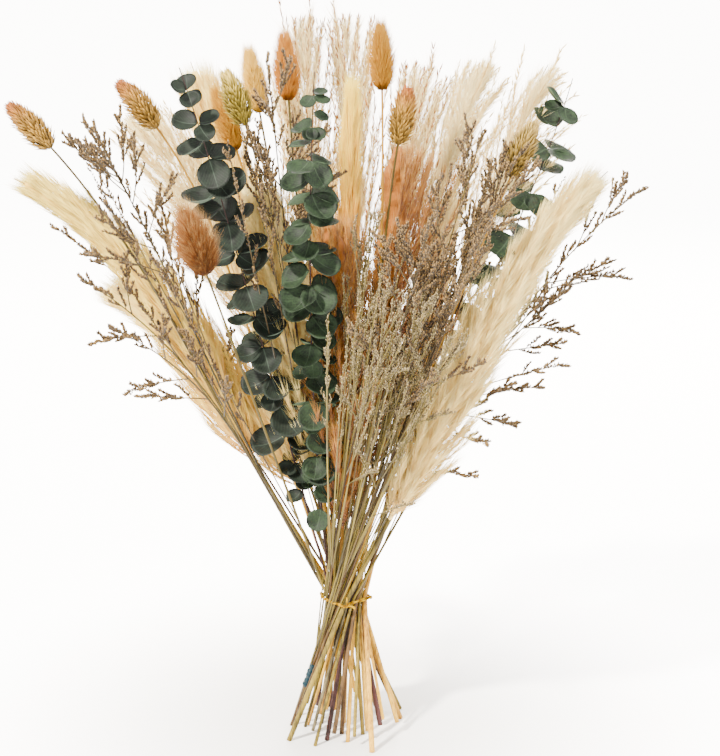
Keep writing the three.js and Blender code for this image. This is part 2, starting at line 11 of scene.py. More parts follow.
import bpy
import numpy as np
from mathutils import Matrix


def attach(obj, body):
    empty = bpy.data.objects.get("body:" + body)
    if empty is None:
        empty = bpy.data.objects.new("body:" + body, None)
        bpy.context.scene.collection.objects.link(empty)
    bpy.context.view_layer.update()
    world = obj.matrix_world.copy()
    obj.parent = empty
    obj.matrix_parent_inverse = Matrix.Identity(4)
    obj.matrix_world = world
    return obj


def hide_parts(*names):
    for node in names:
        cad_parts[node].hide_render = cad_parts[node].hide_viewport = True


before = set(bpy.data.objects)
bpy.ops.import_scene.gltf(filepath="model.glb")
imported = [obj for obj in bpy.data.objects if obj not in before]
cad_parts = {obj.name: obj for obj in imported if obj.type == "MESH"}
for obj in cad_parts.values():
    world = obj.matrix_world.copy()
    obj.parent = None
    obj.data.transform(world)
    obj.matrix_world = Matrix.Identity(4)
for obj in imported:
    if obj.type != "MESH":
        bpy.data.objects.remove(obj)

MM = 0.001
BACK = np.array([0.0, 1.0, 0.0])
UP = np.array([0.0, 0.0, 1.0])
FULL_TURN = 2 * np.pi
GOLDEN_ANGLE = math.radians(137.5)
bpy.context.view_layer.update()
DENSITY = 1.0

# %% [markdown]
# ## Camera and light
#
# The bundle stands on a white table in a bright room, seen from a little above. A long lens keeps the stems
# straight. The sun comes in from the left and throws the shadows to the right, and a white world fills the
# rest.

# %% The camera and the lights
CAMERA_PLACE = (0.0105, -1.02, 0.496)
CAMERA_PITCH = math.radians(14.75)
HALF_VIEW = math.radians(12.25)
SENSOR = 36.0
LIT_PLACE = (0, 0, 0.22)
# name: place, size (for the sun its width as an angle), power, colour
LIGHTS = {
    "sun": ((-0.8, -0.7, 1.35), math.radians(5), 11.5, (1.0, 0.95, 0.84)),
    "fill": ((1.3, -1.2, 0.8), 1.2, 24, (1.0, 0.98, 0.94)),
    "back": ((0.3, 1.4, 1.1), 1.0, 75, (1.0, 0.96, 0.88)),
}
ROOM_COLOUR = (1.0, 0.985, 0.95, 1)
ROOM_STRENGTH = 2.3


def new_object(name, data):
    made = bpy.data.objects.new(name, data)
    bpy.context.scene.collection.objects.link(made)
    return made


def add_light(name, place, size, power, colour):
    """A light that faces the bundle: the sun, or a square one."""
    data = bpy.data.lights.new(name, "SUN" if name == "sun" else "AREA")
    if name == "sun":
        data.angle = size
    else:
        data.size = size
    data.energy = power
    data.color = colour
    lamp = new_object(name, data)
    lamp.location = place
    way = np.subtract(LIT_PLACE, place)
    tilt = math.acos(-way[2] / np.linalg.norm(way))
    lamp.rotation_euler = (tilt, 0, math.atan2(way[1], way[0]) - math.pi / 2)


camera_data = bpy.data.cameras.new("camera")
camera_data.sensor_fit = "VERTICAL"
camera_data.sensor_height = SENSOR
camera_data.lens = SENSOR / 2 / math.tan(HALF_VIEW)
camera = new_object("camera", camera_data)
camera.location = CAMERA_PLACE
camera.rotation_euler = (math.pi / 2 - CAMERA_PITCH, 0, 0)
bpy.context.scene.camera = camera
for name, numbers in LIGHTS.items():
    add_light(name, *numbers)

world = bpy.data.worlds.new("room")
world.use_nodes = True
world_inputs = world.node_tree.nodes["Background"].inputs
world_inputs["Color"].default_value = ROOM_COLOUR
world_inputs["Strength"].default_value = ROOM_STRENGTH
bpy.context.scene.world = world
print("camera lens:", round(camera_data.lens, 1), "mm")

# %% [markdown]
# ## Reading the stems from the frame
#
# A coarse stem is a thin tube, so the middle of a level cut through it is a point of its centre line. Below
# the tie a stem is straight. Above, it leans out to its tip and may arch late and bow a little, so one more
# cut, just below the head, gives the whole curve. The table lists what can't be cut.

# %% The plants
# name: tip, share of the reach that is late arch, length of the head
PLANTS = {
    "pampas_left": ((-190, -15, 351), 0.36, 230),
    "pampas_left_low": ((-151, 34, 277), 0.30, 180),
    "pampas_back_left": ((-93, 58, 412), 0.05, 205),
    "pampas_inner": ((-50, -14, 352), 0.00, 205),
    "pampas_centre": ((6, 12, 406), 0.00, 205),
    "pampas_right": ((149, -50, 360), 0.20, 250),
    "pampas_back_right": ((72, 95, 325), 0.15, 180),
    "terracotta_right": ((34, 22, 371), 0.00, 200),
    "terracotta_middle": ((-8, -24, 334), 0.00, 200),
    "reed_top_left": ((-26, 60, 437), 0.04, 165),
    "reed_top": ((1, 72, 437), 0.04, 165),
    "reed_top_right": ((48, 72, 408), 0.10, 165),
    "reed_right": ((84, 58, 412), 0.12, 165),
    "reed_far_right": ((126, 62, 410), 0.20, 165),
    "reed_left": ((-127, 52, 382), 0.16, 165),
    "reed_back": ((-38, 108, 388), 0.12, 165),
    "eucalyptus_left": ((-88, -60, 418), 0.05, 335),
    "eucalyptus_centre": ((-14, -74, 417), 0.00, 335),
    "eucalyptus_right": ((138, 35, 404), -0.10, 305),
    "eucalyptus_back": ((-26, 98, 335), 0.08, 210),
    "bunny_front": ((-83, -105, 346), 0.00, 40),
    "bunny_top": ((22, 4, 440), 0.00, 40),
    "bunny_orange": ((-34, 14, 433), 0.00, 40),
    "bunny_left": ((-75, 0, 403), 0.10, 40),
    "bunny_cream": ((-56, 26, 424), 0.00, 40),
    "bunny_back": ((8, 112, 345), 0.10, 40),
    "canary_far_left": ((-187, -38, 396), 0.16, 34),
    "canary_left": ((-127, -22, 407), 0.32, 34),
    "canary_middle": ((-66, -28, 414), 0.24, 34),
    "canary_right": ((109, -34, 386), 0.00, 34),
    "canary_centre": ((38, -22, 404), 0.20, 34),
    "canary_back": ((-84, 100, 340), 0.10, 34),
    "limonium_left_top": ((-142, -58, 388), 0.12, 165),
    "limonium_left_edge": ((-178, 30, 316), 0.22, 165),
    "limonium_left_mid": ((-151, -40, 298), 0.20, 100),
    "limonium_left_low": ((-131, -64, 274), 0.30, 100),
    "limonium_top": ((-42, -28, 421), 0.05, 165),
    "limonium_upper_right": ((78, -62, 384), 0.02, 165),
    "limonium_mid_right": ((50, -74, 339), 0.00, 165),
    "limonium_right": ((101, -48, 372), 0.08, 165),
    "limonium_far_right": ((177, -8, 345), 0.20, 165),
    "limonium_edge_right": ((137, 2, 283), 0.18, 100),
    "limonium_low_right": ((101, -36, 234), 0.15, 100),
    "limonium_back_right": ((112, 84, 325), 0.12, 165),
    "fluff_middle": ((17, -60, 337), 0.00, 150),
    "fluff_front": ((32, -86, 299), 0.00, 150),
    "fluff_right": ((49, -70, 292), 0.05, 150),
    "fluff_far_right": ((68, -72, 268), 0.08, 150),
}
TIE_HEIGHT = 86.0
# the three cuts: at the tie, above the foot, and just below the head but above the tie
TIE_CUT = TIE_HEIGHT + 0.02
FOOT_CUT = 0.5
LOWEST_HEAD_CUT = TIE_HEIGHT + 8
HEAD_CUT = 1.03
ARCH_POWER = 6
LINE_POINTS = 400
DIRECTION_STEP = 1.5


def kind_of(name):
    return name.split("_")[0]


# %% Cutting a coarse stem to find its middle
def triangles_of(name):
    """The node's triangles as an array (count, 3 corners, 3 coordinates), in millimetres."""
    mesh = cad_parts[name].data
    places = np.empty(len(mesh.vertices) * 3)
    mesh.vertices.foreach_get("co", places)
    corners = np.empty(len(mesh.loops), int)
    mesh.loops.foreach_get("vertex_index", corners)
    return places.reshape(-1, 3)[corners].reshape(-1, 3, 3) / MM


def unit(vectors):
    return vectors / np.linalg.norm(vectors, axis=-1, keepdims=True).clip(1e-12)


def flat_cross(a, b):
    return a[..., 0] * b[..., 1] - a[..., 1] * b[..., 0]


def middle_at(triangles, height):
    """The centroid of the level cut. Each triangle gives one edge of it, with the solid on its left. The
    centroid is the sum of (p + q) (p x q) over the edges, divided by six times the area."""
    below = triangles[:, :, 2] < height
    cut = triangles[below.any(1) & ~below.all(1)]
    start, end = cut, np.roll(cut, -1, axis=1)
    up_start, up_end = start[:, :, 2] - height, end[:, :, 2] - height
    crossing = (up_start < 0) != (up_end < 0)
    share = up_start / np.where(crossing, up_start - up_end, 1)
    edges = (start + (end - start) * share[..., None])[crossing].reshape(-1, 2, 3)[..., :2]
    outward = np.cross(cut[:, 1] - cut[:, 0], cut[:, 2] - cut[:, 0])[:, :2]
    backwards = flat_cross(outward, edges[:, 1] - edges[:, 0]) < 0
    edges[backwards] = edges[backwards, ::-1]
    weight = flat_cross(edges[:, 0], edges[:, 1])
    return (edges.sum(1) * weight[:, None]).sum(0) / (3 * weight.sum())


def climb(heights, tip, arch):
    """The share s of the way up from the tie to the tip, and the reach there: (1 - arch) s + arch s^6."""
    s = (heights - TIE_HEIGHT) / (tip[2] - TIE_HEIGHT)
    return s, (1 - arch) * s + arch * s**ARCH_POWER


def centre_line(tip, slot, foot, push, arch, heights):
    """Straight from foot to slot up to the tie. Above it the line runs from slot to tip by the reach, and
    bows by push times 4 s (1 - s)."""
    up = (heights / TIE_HEIGHT)[:, None]
    s, run = climb(np.maximum(heights, TIE_HEIGHT)[:, None], tip, arch)
    above = slot * (1 - run) + tip[:2] * run + push * 4 * s * (1 - s)
    return np.hstack([np.where(up < 1, foot * (1 - up) + slot * up, above), heights[:, None]])


def read_line(name):
    """The line of a plant, as points from its cut end to its tip and the distance of each along it."""
    tip, arch, head = PLANTS[name]
    tip = np.array(tip, float)
    triangles = triangles_of(name)
    cut_height = triangles[:, :, 2].min()
    slot = middle_at(triangles, TIE_CUT)
    low = middle_at(triangles, cut_height + FOOT_CUT)
    up = (cut_height + FOOT_CUT) / TIE_HEIGHT
    foot = (low - slot * up) / (1 - up)
    probe = max(LOWEST_HEAD_CUT, tip[2] - HEAD_CUT * head)
    s, run = climb(probe, tip, arch)
    push = (middle_at(triangles, probe) - slot * (1 - run) - tip[:2] * run) / (4 * s * (1 - s))
    points = centre_line(tip, slot, foot, push, arch, np.linspace(cut_height, tip[2], LINE_POINTS))
    steps = np.linalg.norm(np.diff(points, axis=0), axis=1)
    return {"points": points, "far": np.r_[0, steps.cumsum()], "head": head, "triangles": triangles}


def between(spots, known, points):
    """Points at the spots, interpolated from those at the known spots."""
    return np.stack([np.interp(spots, known, points[:, k]) for k in range(3)], axis=-1)


def at(line, far):
    """Points of a line, and its directions there, at distances along it."""
    behind, place, ahead = (
        between(far + step, line["far"], line["points"]) for step in (-DIRECTION_STEP, 0, DIRECTION_STEP)
    )
    return place, unit(ahead - behind)


def on_head(line, share):
    """The same at shares of the head: 0 is its lower end, 1 the tip, below 0 lies the bare stem."""
    return at(line, line["far"][-1] - line["head"] * (1 - share))


LINES = {name: read_line(name) for name in PLANTS}
print("stems read:", len(LINES), "longest:", round(max(line["far"][-1] for line in LINES.values())), "mm")

# %% [markdown]
# ## Three ways to make many small things at once
#
# A hair or a twig is a needle: a few rings along a path and a point at its end. A stem is the same with
# more sides and a blunt end. A floret, a seed or a scale is one small shape set down many times. All three
# are whole-array sums, so a plume of ten thousand hairs is made in one go. Each result is four arrays: the
# corners, the triangles, how far along its hair or shape each corner is, and the number of the hair or
# shape that it is of.

# %% Directions and paths
def around(turn, side, other):
    """The direction at an angle from side towards other."""
    return np.cos(turn)[..., None] * side + np.sin(turn)[..., None] * other


def square_to(forward, steady=None):
    """Two directions square to forward, so that (side, other, forward) is right-handed. The side is also
    square to the axis that steady, or else forward, follows least."""
    flattest = np.abs(forward if steady is None else steady).argmin(-1)
    side = unit(np.cross(np.eye(3)[flattest], forward))
    return side, np.cross(forward, side)


def leaning(forward, angle, slant):
    """Forward tilted by slant: to the front at angle 0, and to the right a quarter turn on."""
    side = unit(np.cross(BACK, forward))
    other = unit(np.cross(side, forward))
    return around(slant, forward, around(angle, other, side))


def bend(t, first, second):
    """Where a path of length 2 that sets out along first and ends along second is at t: its steps in t turn
    evenly from one to the other, so the place is (2t - t^2) first + t^2 second."""
    return (2 * t - t * t) * first + t * t * second


def bent_paths(roots, first, second, length, points):
    """Such paths of a given length from the roots, as an array (count, points, 3)."""
    t = np.linspace(0, 1, points)[None, :, None]
    half = np.broadcast_to(np.asarray(length, float), roots.shape[:1])[:, None, None] / 2
    return roots[:, None] + half * bend(t, first[:, None], second[:, None])


def on_paths(paths, which, share):
    """Places and directions on paths (count, points, 3), at shares of their length."""
    spot = np.clip(share, 0, 0.9999) * (paths.shape[1] - 1)
    low = spot.astype(int)
    part = (spot - low)[:, None]
    start, end = paths[which, low], paths[which, low + 1]
    return start * (1 - part) + end * part, unit(end - start)


# %% Faces between rings
def faces_of(*corners):
    """Triangles from one array, or one number, for each of their three corners."""
    return np.stack(np.broadcast_arrays(*corners), -1)


def copies(faces, each, count):
    """The faces of one thing with its corners numbered on by each, count times."""
    return (faces + each * np.arange(count)[:, None, None]).reshape(-1, 3)


def ring(sides):
    """The angles of a ring's corners, their numbers, and the number of the next corner."""
    number = np.arange(sides)
    return number * 2 * np.pi / sides, number, (number + 1) % sides


def wall(a, b, step):
    """Two triangles on each side of a ring, up to the ring that is numbered step further."""
    return np.concatenate([faces_of(a, b, b + step), faces_of(a, b + step, a + step)])


# %% Needles, twigs and scattered shapes
def tubes(paths, radii, sides=3, pointed=False):
    """Closed tubes along paths (count, points, 3). With pointed, the last point of each is a sharp tip."""
    count, points, _ = paths.shape
    forward = unit(np.gradient(paths, axis=1))
    side, other = square_to(forward, unit(forward.mean(1, keepdims=True)))
    rings = points - 1 if pointed else points
    turn, a, b = ring(sides)
    radii = np.broadcast_to(radii, (count, points))[:, :rings, None, None]
    verts = paths[:, :rings, None] + radii * around(turn, side[:, :rings, None], other[:, :rings, None])
    verts = verts.reshape(count, -1, 3)
    along = np.repeat(np.arange(rings) / (points - 1), sides)
    fan = faces_of(0, np.arange(2, sides), np.arange(1, sides - 1))
    last = sides * (rings - 1)
    end = fan[:, ::-1] + last
    if pointed:
        verts = np.concatenate([verts, paths[:, -1:]], 1)
        along = np.r_[along, 1.0]
        end = faces_of(a + last, b + last, last + sides)
    faces = np.concatenate([copies(wall(a, b, sides), sides, rings - 1), fan, end])
    each = verts.shape[1]
    which = np.repeat(np.arange(count), each)
    return verts.reshape(-1, 3), copies(faces, each, count), np.tile(along, count), which


def scattered(shape, places, forward, roll, size):
    """The shape (corners, triangles) set down at each place, its Z along forward, rolled and scaled."""
    corners, faces = shape
    count, each = len(places), len(corners)
    turned = around(roll, *square_to(forward))
    axes = (turned, np.cross(forward, turned), forward)
    scaled = corners * np.broadcast_to(np.asarray(size).T, (3, count)).T[:, None]
    verts = places[:, None] + sum(scaled[..., k : k + 1] * axis[:, None] for k, axis in enumerate(axes))
    along = np.tile(corners[:, 2] / corners[:, 2].max(), count)
    return verts.reshape(-1, 3), copies(faces, each, count), along, np.repeat(np.arange(count), each)


def joined(*parts):
    """Several such results as one, with their corners and things numbered on."""
    corners = things = 0
    numbered = []
    for verts, faces, along, which in parts:
        numbered.append((verts, faces + corners, along, which + things))
        corners += len(verts)
        things += which.max() + 1
    return tuple(np.concatenate(column) for column in zip(*numbered))


def turned_profile(radii, heights, sides, squash=1.0):
    """A small closed shape: a profile turned about Z, with a point at each end."""
    turn, a, b = ring(sides)
    flat = np.stack([np.cos(turn), np.sin(turn) * squash, np.zeros(sides)], 1)
    rings = [flat * [r, r, 0] + [0, 0, z] for r, z in zip(radii, heights[1:-1])]
    verts = np.concatenate([[[0, 0, heights[0]]], *rings, [[0, 0, heights[-1]]]])
    last = 1 + sides * (len(radii) - 1)
    walls = copies(wall(a, b, sides), sides, len(radii) - 1) + 1
    faces = [faces_of(0, b + 1, a + 1), walls, faces_of(a + last, b + last, last + sides)]
    return verts, np.concatenate(faces)


# %% From arrays to pieces
FIRST_SEED, SEED_STEP = 100, 400
PARTS = ("stem", "plume", "reed", "spray", "bunny", "canary", "leaf")


def add_piece(name, verts, faces, material, *nodes, **fields):
    """A smooth mesh of triangles that stands for the nodes. Each field has a number for every corner."""
    mesh = bpy.data.meshes.new(name)
    mesh.vertices.add(len(verts))
    mesh.vertices.foreach_set("co", (verts * MM).astype(np.float32).ravel())
    mesh.loops.add(faces.size)
    mesh.loops.foreach_set("vertex_index", faces.astype(np.int32).ravel())
    mesh.polygons.add(len(faces))
    mesh.polygons.foreach_set("loop_start", np.arange(0, faces.size, 3, dtype=np.int32))
    mesh.polygons.foreach_set("use_smooth", np.ones(len(faces), bool))
    for key, values in fields.items():
        field = mesh.attributes.new(key, "FLOAT", "POINT")
        field.data.foreach_set("value", values.astype(np.float32))
    mesh.update(calc_edges=True)
    mesh.materials.append(material)
    piece = new_object(name, mesh)
    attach(piece, "root")
    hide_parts(*nodes)
    return len(faces)


def add_grown(name, part, grown, finish, tint, shade=None):
    """A piece of many things, with a tint for each of them and a shade, or else along, for each corner."""
    verts, faces, along, which = grown
    along = along if shade is None else shade
    return add_piece(f"{name}_{part}", verts, faces, finish, name, along=along, tint=tint[which])


def build_all(part, build, table):
    """Builds each row of a table, with a random generator of its own, and prints what they come to."""
    seed = FIRST_SEED + SEED_STEP * PARTS.index(part)
    total = 0
    for order, (name, numbers) in enumerate(table.items()):
        total += build(name, np.random.default_rng(seed + order), *numbers)
    print(part, "triangles:", total)


# %% [markdown]
# ## Finishes
#
# Dry plants are matt, and most of their colour lies along the hair: darker and warmer at the root, paler at
# the tip, with every hair a little different. One node group gives that to all of them. A second one
# streaks the stems along their length, and a third draws the veins and the waxy bloom of a eucalyptus leaf.

# %% Helpers for colours, nodes and groups
SPECULAR = 0.25


def linear(code):
    """An RRGGBB colour as the linear values that Blender's sockets hold."""
    parts = np.array([int(code[k : k + 2], 16) / 255 for k in (0, 2, 4)])
    parts = np.where(parts <= 0.04045, parts / 12.92, ((parts + 0.055) / 1.055) ** 2.4)
    return (*parts, 1.0)


class Nodes:
    """Short ways to add nodes to a tree. A value is a number, a colour or the socket that it comes from."""

    def __init__(self, tree):
        self.tree = tree

    def add(self, kind):
        return self.tree.nodes.new("ShaderNode" + kind)

    def feed(self, socket, value):
        if isinstance(value, (int, float, tuple)):
            socket.default_value = value
        else:
            self.tree.links.new(value, socket)

    def field(self, name):
        node = self.add("Attribute")
        node.attribute_name = name
        return node.outputs["Fac"]

    def math(self, kind, *values):
        node = self.add("Math")
        node.operation = kind
        for socket, value in zip(node.inputs, values):
            self.feed(socket, value)
        return node.outputs[0]

    def clamp(self, value):
        return self.math("MINIMUM", self.math("MAXIMUM", value, 0.0), 1.0)

    def mix(self, share, first, second):
        """A colour between first and second, whose sockets stand behind those for numbers and vectors."""
        node = self.add("Mix")
        node.data_type = "RGBA"
        for place, value in ((0, share), (6, first), (7, second)):
            self.feed(node.inputs[place], value)
        return node.outputs[2]

    def noise(self, scale, stretch=(1, 1, 1), detail=3.0):
        """Noise on Object coordinates, finer along the axes with a larger stretch."""
        mapping, node = self.add("Mapping"), self.add("TexNoise")
        self.feed(mapping.inputs["Vector"], self.add("TexCoord").outputs["Object"])
        self.feed(mapping.inputs["Scale"], stretch)
        self.feed(node.inputs["Vector"], mapping.outputs["Vector"])
        self.feed(node.inputs["Scale"], scale)
        self.feed(node.inputs["Detail"], detail)
        return node.outputs["Fac"]

    def bump(self, height, strength, distance):
        node = self.add("Bump")
        self.feed(node.inputs["Height"], height)
        self.feed(node.inputs["Strength"], strength)
        self.feed(node.inputs["Distance"], distance)
        return node.outputs["Normal"]


def new_group(name, inputs, outputs):
    """A shader group. Its inputs are colour codes or numbers. Of its outputs only Color is a colour."""
    group = bpy.data.node_groups.new(name, "ShaderNodeTree")
    for label, value in inputs.items():
        kind = "NodeSocketColor" if isinstance(value, str) else "NodeSocketFloat"
        socket = group.interface.new_socket(label, in_out="INPUT", socket_type=kind)
        socket.default_value = linear(value) if isinstance(value, str) else value
    for label in outputs:
        kind = "NodeSocketColor" if label == "Color" else "NodeSocketFloat"
        group.interface.new_socket(label, in_out="OUTPUT", socket_type=kind)
    given, result = group.nodes.new("NodeGroupInput"), group.nodes.new("NodeGroupOutput")
    return group, Nodes(group), given.outputs, result.inputs


def new_material(name, roughness, sheen=0.0, specular=SPECULAR):
    material = bpy.data.materials.new(name)
    material.use_nodes = True
    shader = material.node_tree.nodes["Principled BSDF"]
    shader.inputs["Roughness"].default_value = roughness
    shader.inputs["Specular IOR Level"].default_value = specular
    shader.inputs["Sheen Weight"].default_value = sheen
    return material, Nodes(material.node_tree), shader.inputs


def group_material(name, group, values, *look, bump=None):
    """A material that takes its colour, and its roughness and bump if it has them, from a group. The values
    are colour codes or numbers for the group's inputs, in their order."""
    material, nodes, shader = new_material(name, *look)
    source = nodes.add("Group")
    source.node_tree = group
    for socket, value in zip(source.inputs, values):
        socket.default_value = linear(value) if isinstance(value, str) else value
    nodes.feed(shader["Base Color"], source.outputs["Color"])
    if "Roughness" in source.outputs:
        nodes.feed(shader["Roughness"], source.outputs["Roughness"])
    if bump:
        nodes.feed(shader["Normal"], nodes.bump(source.outputs["Height"], *bump))
    return material


# %% The colour of a fibre
def make_fibre_group():
    """Root to middle in the lower half, middle to tip in the upper, times 1 + spread (tint - 0.5)."""
    colours = {"Root": "a07850", "Middle": "c8a878", "Tip": "e8d8b8", "Spread": 0.3}
    group, nodes, given, result = new_group("fibre colour", colours, ["Color"])
    lower = nodes.math("MULTIPLY", nodes.field("along"), 2.0)
    upper = nodes.math("SUBTRACT", lower, 1.0)
    low = nodes.mix(lower, given["Root"], given["Middle"])
    whole = nodes.mix(upper, low, given["Tip"])
    off = nodes.math("SUBTRACT", nodes.field("tint"), 0.5)
    scale = nodes.add("VectorMath")
    scale.operation = "SCALE"
    nodes.feed(scale.inputs[0], whole)
    nodes.feed(scale.inputs["Scale"], nodes.math("MULTIPLY_ADD", off, given["Spread"], 1.0))
    nodes.feed(result["Color"], scale.outputs[0])
    return group


FIBRE = make_fibre_group()


def fibre_material(name, root, middle, tip, spread=0.3, roughness=0.75, sheen=0.15, specular=SPECULAR):
    return group_material(name, FIBRE, (root, middle, tip, spread), roughness, sheen, specular)


# %% The streaks of a stem
STEM_ROUGHNESS = 0.55
STEM_BUMP = (0.35, 0.0004)


def make_streak_group():
    """Streaks along the stem between dark and light, brown at the joints and dark again higher up."""
    colours = {"Light": "d8c088", "Dark": "8a7038"}
    group, nodes, given, result = new_group("stem streaks", colours, ["Color", "Height"])
    fine = nodes.noise(900, (1, 1, 0.03), 2.0)
    broad = nodes.noise(60, (1, 1, 0.35), 2.0)
    both = nodes.math("MULTIPLY_ADD", broad, 1.2, nodes.math("MULTIPLY", fine, 0.9))
    share = nodes.clamp(nodes.math("MULTIPLY_ADD", both, 2.4, -1.95))
    streaks = nodes.mix(share, given["Dark"], given["Light"])
    jointed = nodes.mix(nodes.math("MULTIPLY", nodes.field("joint"), 0.65), streaks, linear("5a3f20"))
    risen = nodes.math("MULTIPLY", nodes.field("rise"), 0.8)
    nodes.feed(result["Color"], nodes.mix(risen, jointed, given["Dark"]))
    nodes.feed(result["Height"], fine)
    return group


STREAK = make_streak_group()
STEM_COLOURS = {
    "straw": ("e0b03c", "8e6418"),
    "yellow": ("eab430", "96690e"),
    "olive": ("8a7426", "3c320e"),
    "grey": ("74684a", "342c18"),
    "peach": ("dca83a", "8a5c16"),
    "brown": ("664a26", "281a0a"),
    "purple": ("4c2c2a", "20100e"),
}
STEM_FINISH = {
    key: group_material(key + " stem", STREAK, codes, STEM_ROUGHNESS, bump=STEM_BUMP)
    for key, codes in STEM_COLOURS.items()
}
print("stem finishes:", len(STEM_FINISH))

# %% [markdown]
# ## Stems
#
# A grass stem is a straight straw with a thicker joint every finger's length, cut square at its lower end.
# It is a many-sided tube on the line read from the frame, and its radius swells at each joint.

# %% Build every stem
# kind: radius at the foot, radius below the head, finishes by turns
STEMS = {
    "pampas": (2.2, 1.6, ("straw", "olive", "peach", "yellow")),
    "terracotta": (1.8, 1.3, ("peach", "brown")),
    "reed": (1.7, 0.9, ("yellow", "brown", "olive", "straw")),
    "eucalyptus": (2.0, 0.9, ("purple",)),
    "bunny": (1.2, 0.8, ("olive", "yellow")),
    "canary": (1.2, 0.8, ("olive", "straw")),
    "limonium": (1.4, 0.7, ("brown", "olive", "grey")),
    "fluff": (1.3, 0.7, ("olive", "brown")),
}
JOINTED = ("pampas", "terracotta", "reed", "bunny", "canary")
SHORT_HEADS = ("bunny", "canary")
STEM_SIDES, STEM_POINTS = 8, 90
STEM_SLIMMER = 0.78
TIP_RADIUS = 0.35
JOINT_COUNT, JOINT_GAP, JOINT_REACH, JOINT_SWELL = 8, (45, 95), 1.6, 0.18
SWAY, SWAY_LENGTH = 0.05, 9
DARKENS_AT = (60, 160)


def build_stem(name, rng, order):
    """A tube that narrows up the line and swells at each joint as 0.18 exp(-(d / 1.6)^2). It runs on inside
    the head to the tip, but ends within a short head."""
    line = LINES[name]
    kind = kind_of(name)
    wide, narrow, finishes = STEMS[kind]
    end = line["far"][-1]
    bare = end - line["head"]
    far = np.linspace(0, end * (1 - 0.4 * line["head"] / end if kind in SHORT_HEADS else 1.0), STEM_POINTS)
    places, _ = at(line, far)
    radius = np.interp(far, [0, bare, end], [wide, narrow, TIP_RADIUS]) * STEM_SLIMMER
    joints = np.cumsum(rng.uniform(*JOINT_GAP, JOINT_COUNT)) if kind in JOINTED else np.array([])
    near = np.exp(-(((far[:, None] - joints) / JOINT_REACH) ** 2)).sum(1) * (far < bare)
    radius = radius * (1 + JOINT_SWELL * near) * (1 + SWAY * np.sin(far / SWAY_LENGTH + order))
    verts, faces, _, _ = tubes(places[None], radius[None], STEM_SIDES)
    finish = STEM_FINISH[finishes[order % len(finishes)]]
    rise = np.interp(places[:, 2], DARKENS_AT, [0, 1])
    fields = {"joint": np.repeat(near, STEM_SIDES), "rise": np.repeat(rise, STEM_SIDES)}
    return add_piece(name + "_stem", verts, faces, finish, name, **fields)


build_all("stem", build_stem, {name: (order,) for order, name in enumerate(LINES)})

# %% [markdown]
# ## Pampas plumes
#
# A pampas head is a stem with some hundred side branches, each hung with long silky hairs. From a step away
# the hairs of one branch hold together as a soft tuft. So the branches are placed first, by the golden
# angle, and the hairs then stand on them, all leaning towards the tip. A tube of the same colour closes the
# inside, which the hairs alone would leave open.

# %% Hairs on branches on a stem
PAMPAS_FINISH = {
    "warm": fibre_material("warm pampas hair", "eeb868", "eac658", "ecd76e", 0.2),
    "pale": fibre_material("pale pampas hair", "f0c058", "fed878", "ffee96", 0.15),
    "cream": fibre_material("cream pampas hair", "ecbe5c", "fcde88", "fdeea6", 0.15),
    "yellow": fibre_material("yellow pampas hair", "a04a00", "ea9810", "ffe248", 0.22),
    "peach": fibre_material("terracotta plume hair", "74360a", "9e601a", "ce963e", 0.7),
}
# name: finish, branches, hairs, branch length, lean, hair length, looseness in degrees, thickness, then how
# much paler the tip of the head is than its lower end, and how much further the head reaches to the right
PLUMES = {
    "pampas_left": ("warm", 420, 26000, 46, 24, 20, 9, 0.19, 0.5),
    "pampas_left_low": ("pale", 260, 19000, 50, 27, 21, 13, 0.19),
    "pampas_back_left": ("pale", 200, 18000, 54, 30, 22, 20, 0.19),
    "pampas_inner": ("cream", 200, 20000, 54, 31, 22, 18, 0.19),
    "pampas_centre": ("yellow", 160, 15000, 38, 14, 24, 9, 0.18, 1.1),
    "pampas_right": ("cream", 260, 25000, 46, 27, 19, 20, 0.18),
    "pampas_back_right": ("cream", 140, 13000, 38, 25, 18, 22, 0.19),
    "terracotta_right": ("peach", 180, 20000, 66, 34, 14, 26, 0.19, 0.1, 0.6),
    "terracotta_middle": ("peach", 180, 20000, 64, 32, 15, 26, 0.19, 0.1, 0.2),
}
SET_OUT, END_UP = 1.3, 0.45
STRAIGHT_SHARE = 0.93
SAG = -0.12 * UP
BENT_TAPER = np.array([[0.9, 0.8, 0.0]])
BODY_SHARE, BODY_POINTS, BODY_SIDES, BODY_LEAST = 0.3, 90, 12, 1.2


def plume_shape(share):
    """How long a branch is, from the lower end to the tip of the head."""
    return np.minimum(1, 0.5 + 3.0 * share) * np.interp(share, [0, 1], [1.05, 0.66])


def plume_branches(line, rng, count, tuft, lean, hair, right):
    """Branches up to the tip, no longer than leaves room for their hairs, as their shares of the head,
    roots, stem directions, first and last directions and lengths."""
    share = (np.arange(count) + rng.random(count)) / count
    climbed = share * (1 - 0.62 * tuft / line["head"])
    roots, forward = on_head(line, climbed)
    angle = np.arange(count) * GOLDEN_ANGLE + rng.normal(0, 0.25, count)
    slant = np.radians(lean) * np.interp(share, [0, 1], [1.15, 0.55]) * rng.uniform(0.75, 1.2, count)
    wanted = tuft * plume_shape(share) * rng.uniform(0.8, 1.15, count) * (1 + right * np.sin(angle))
    length = np.minimum(wanted, (1 - climbed) * line["head"] - 0.55 * hair).clip(4)
    first, second = (leaning(forward, angle, slant * part) for part in (SET_OUT, END_UP))
    return share, roots, forward, first, second, length


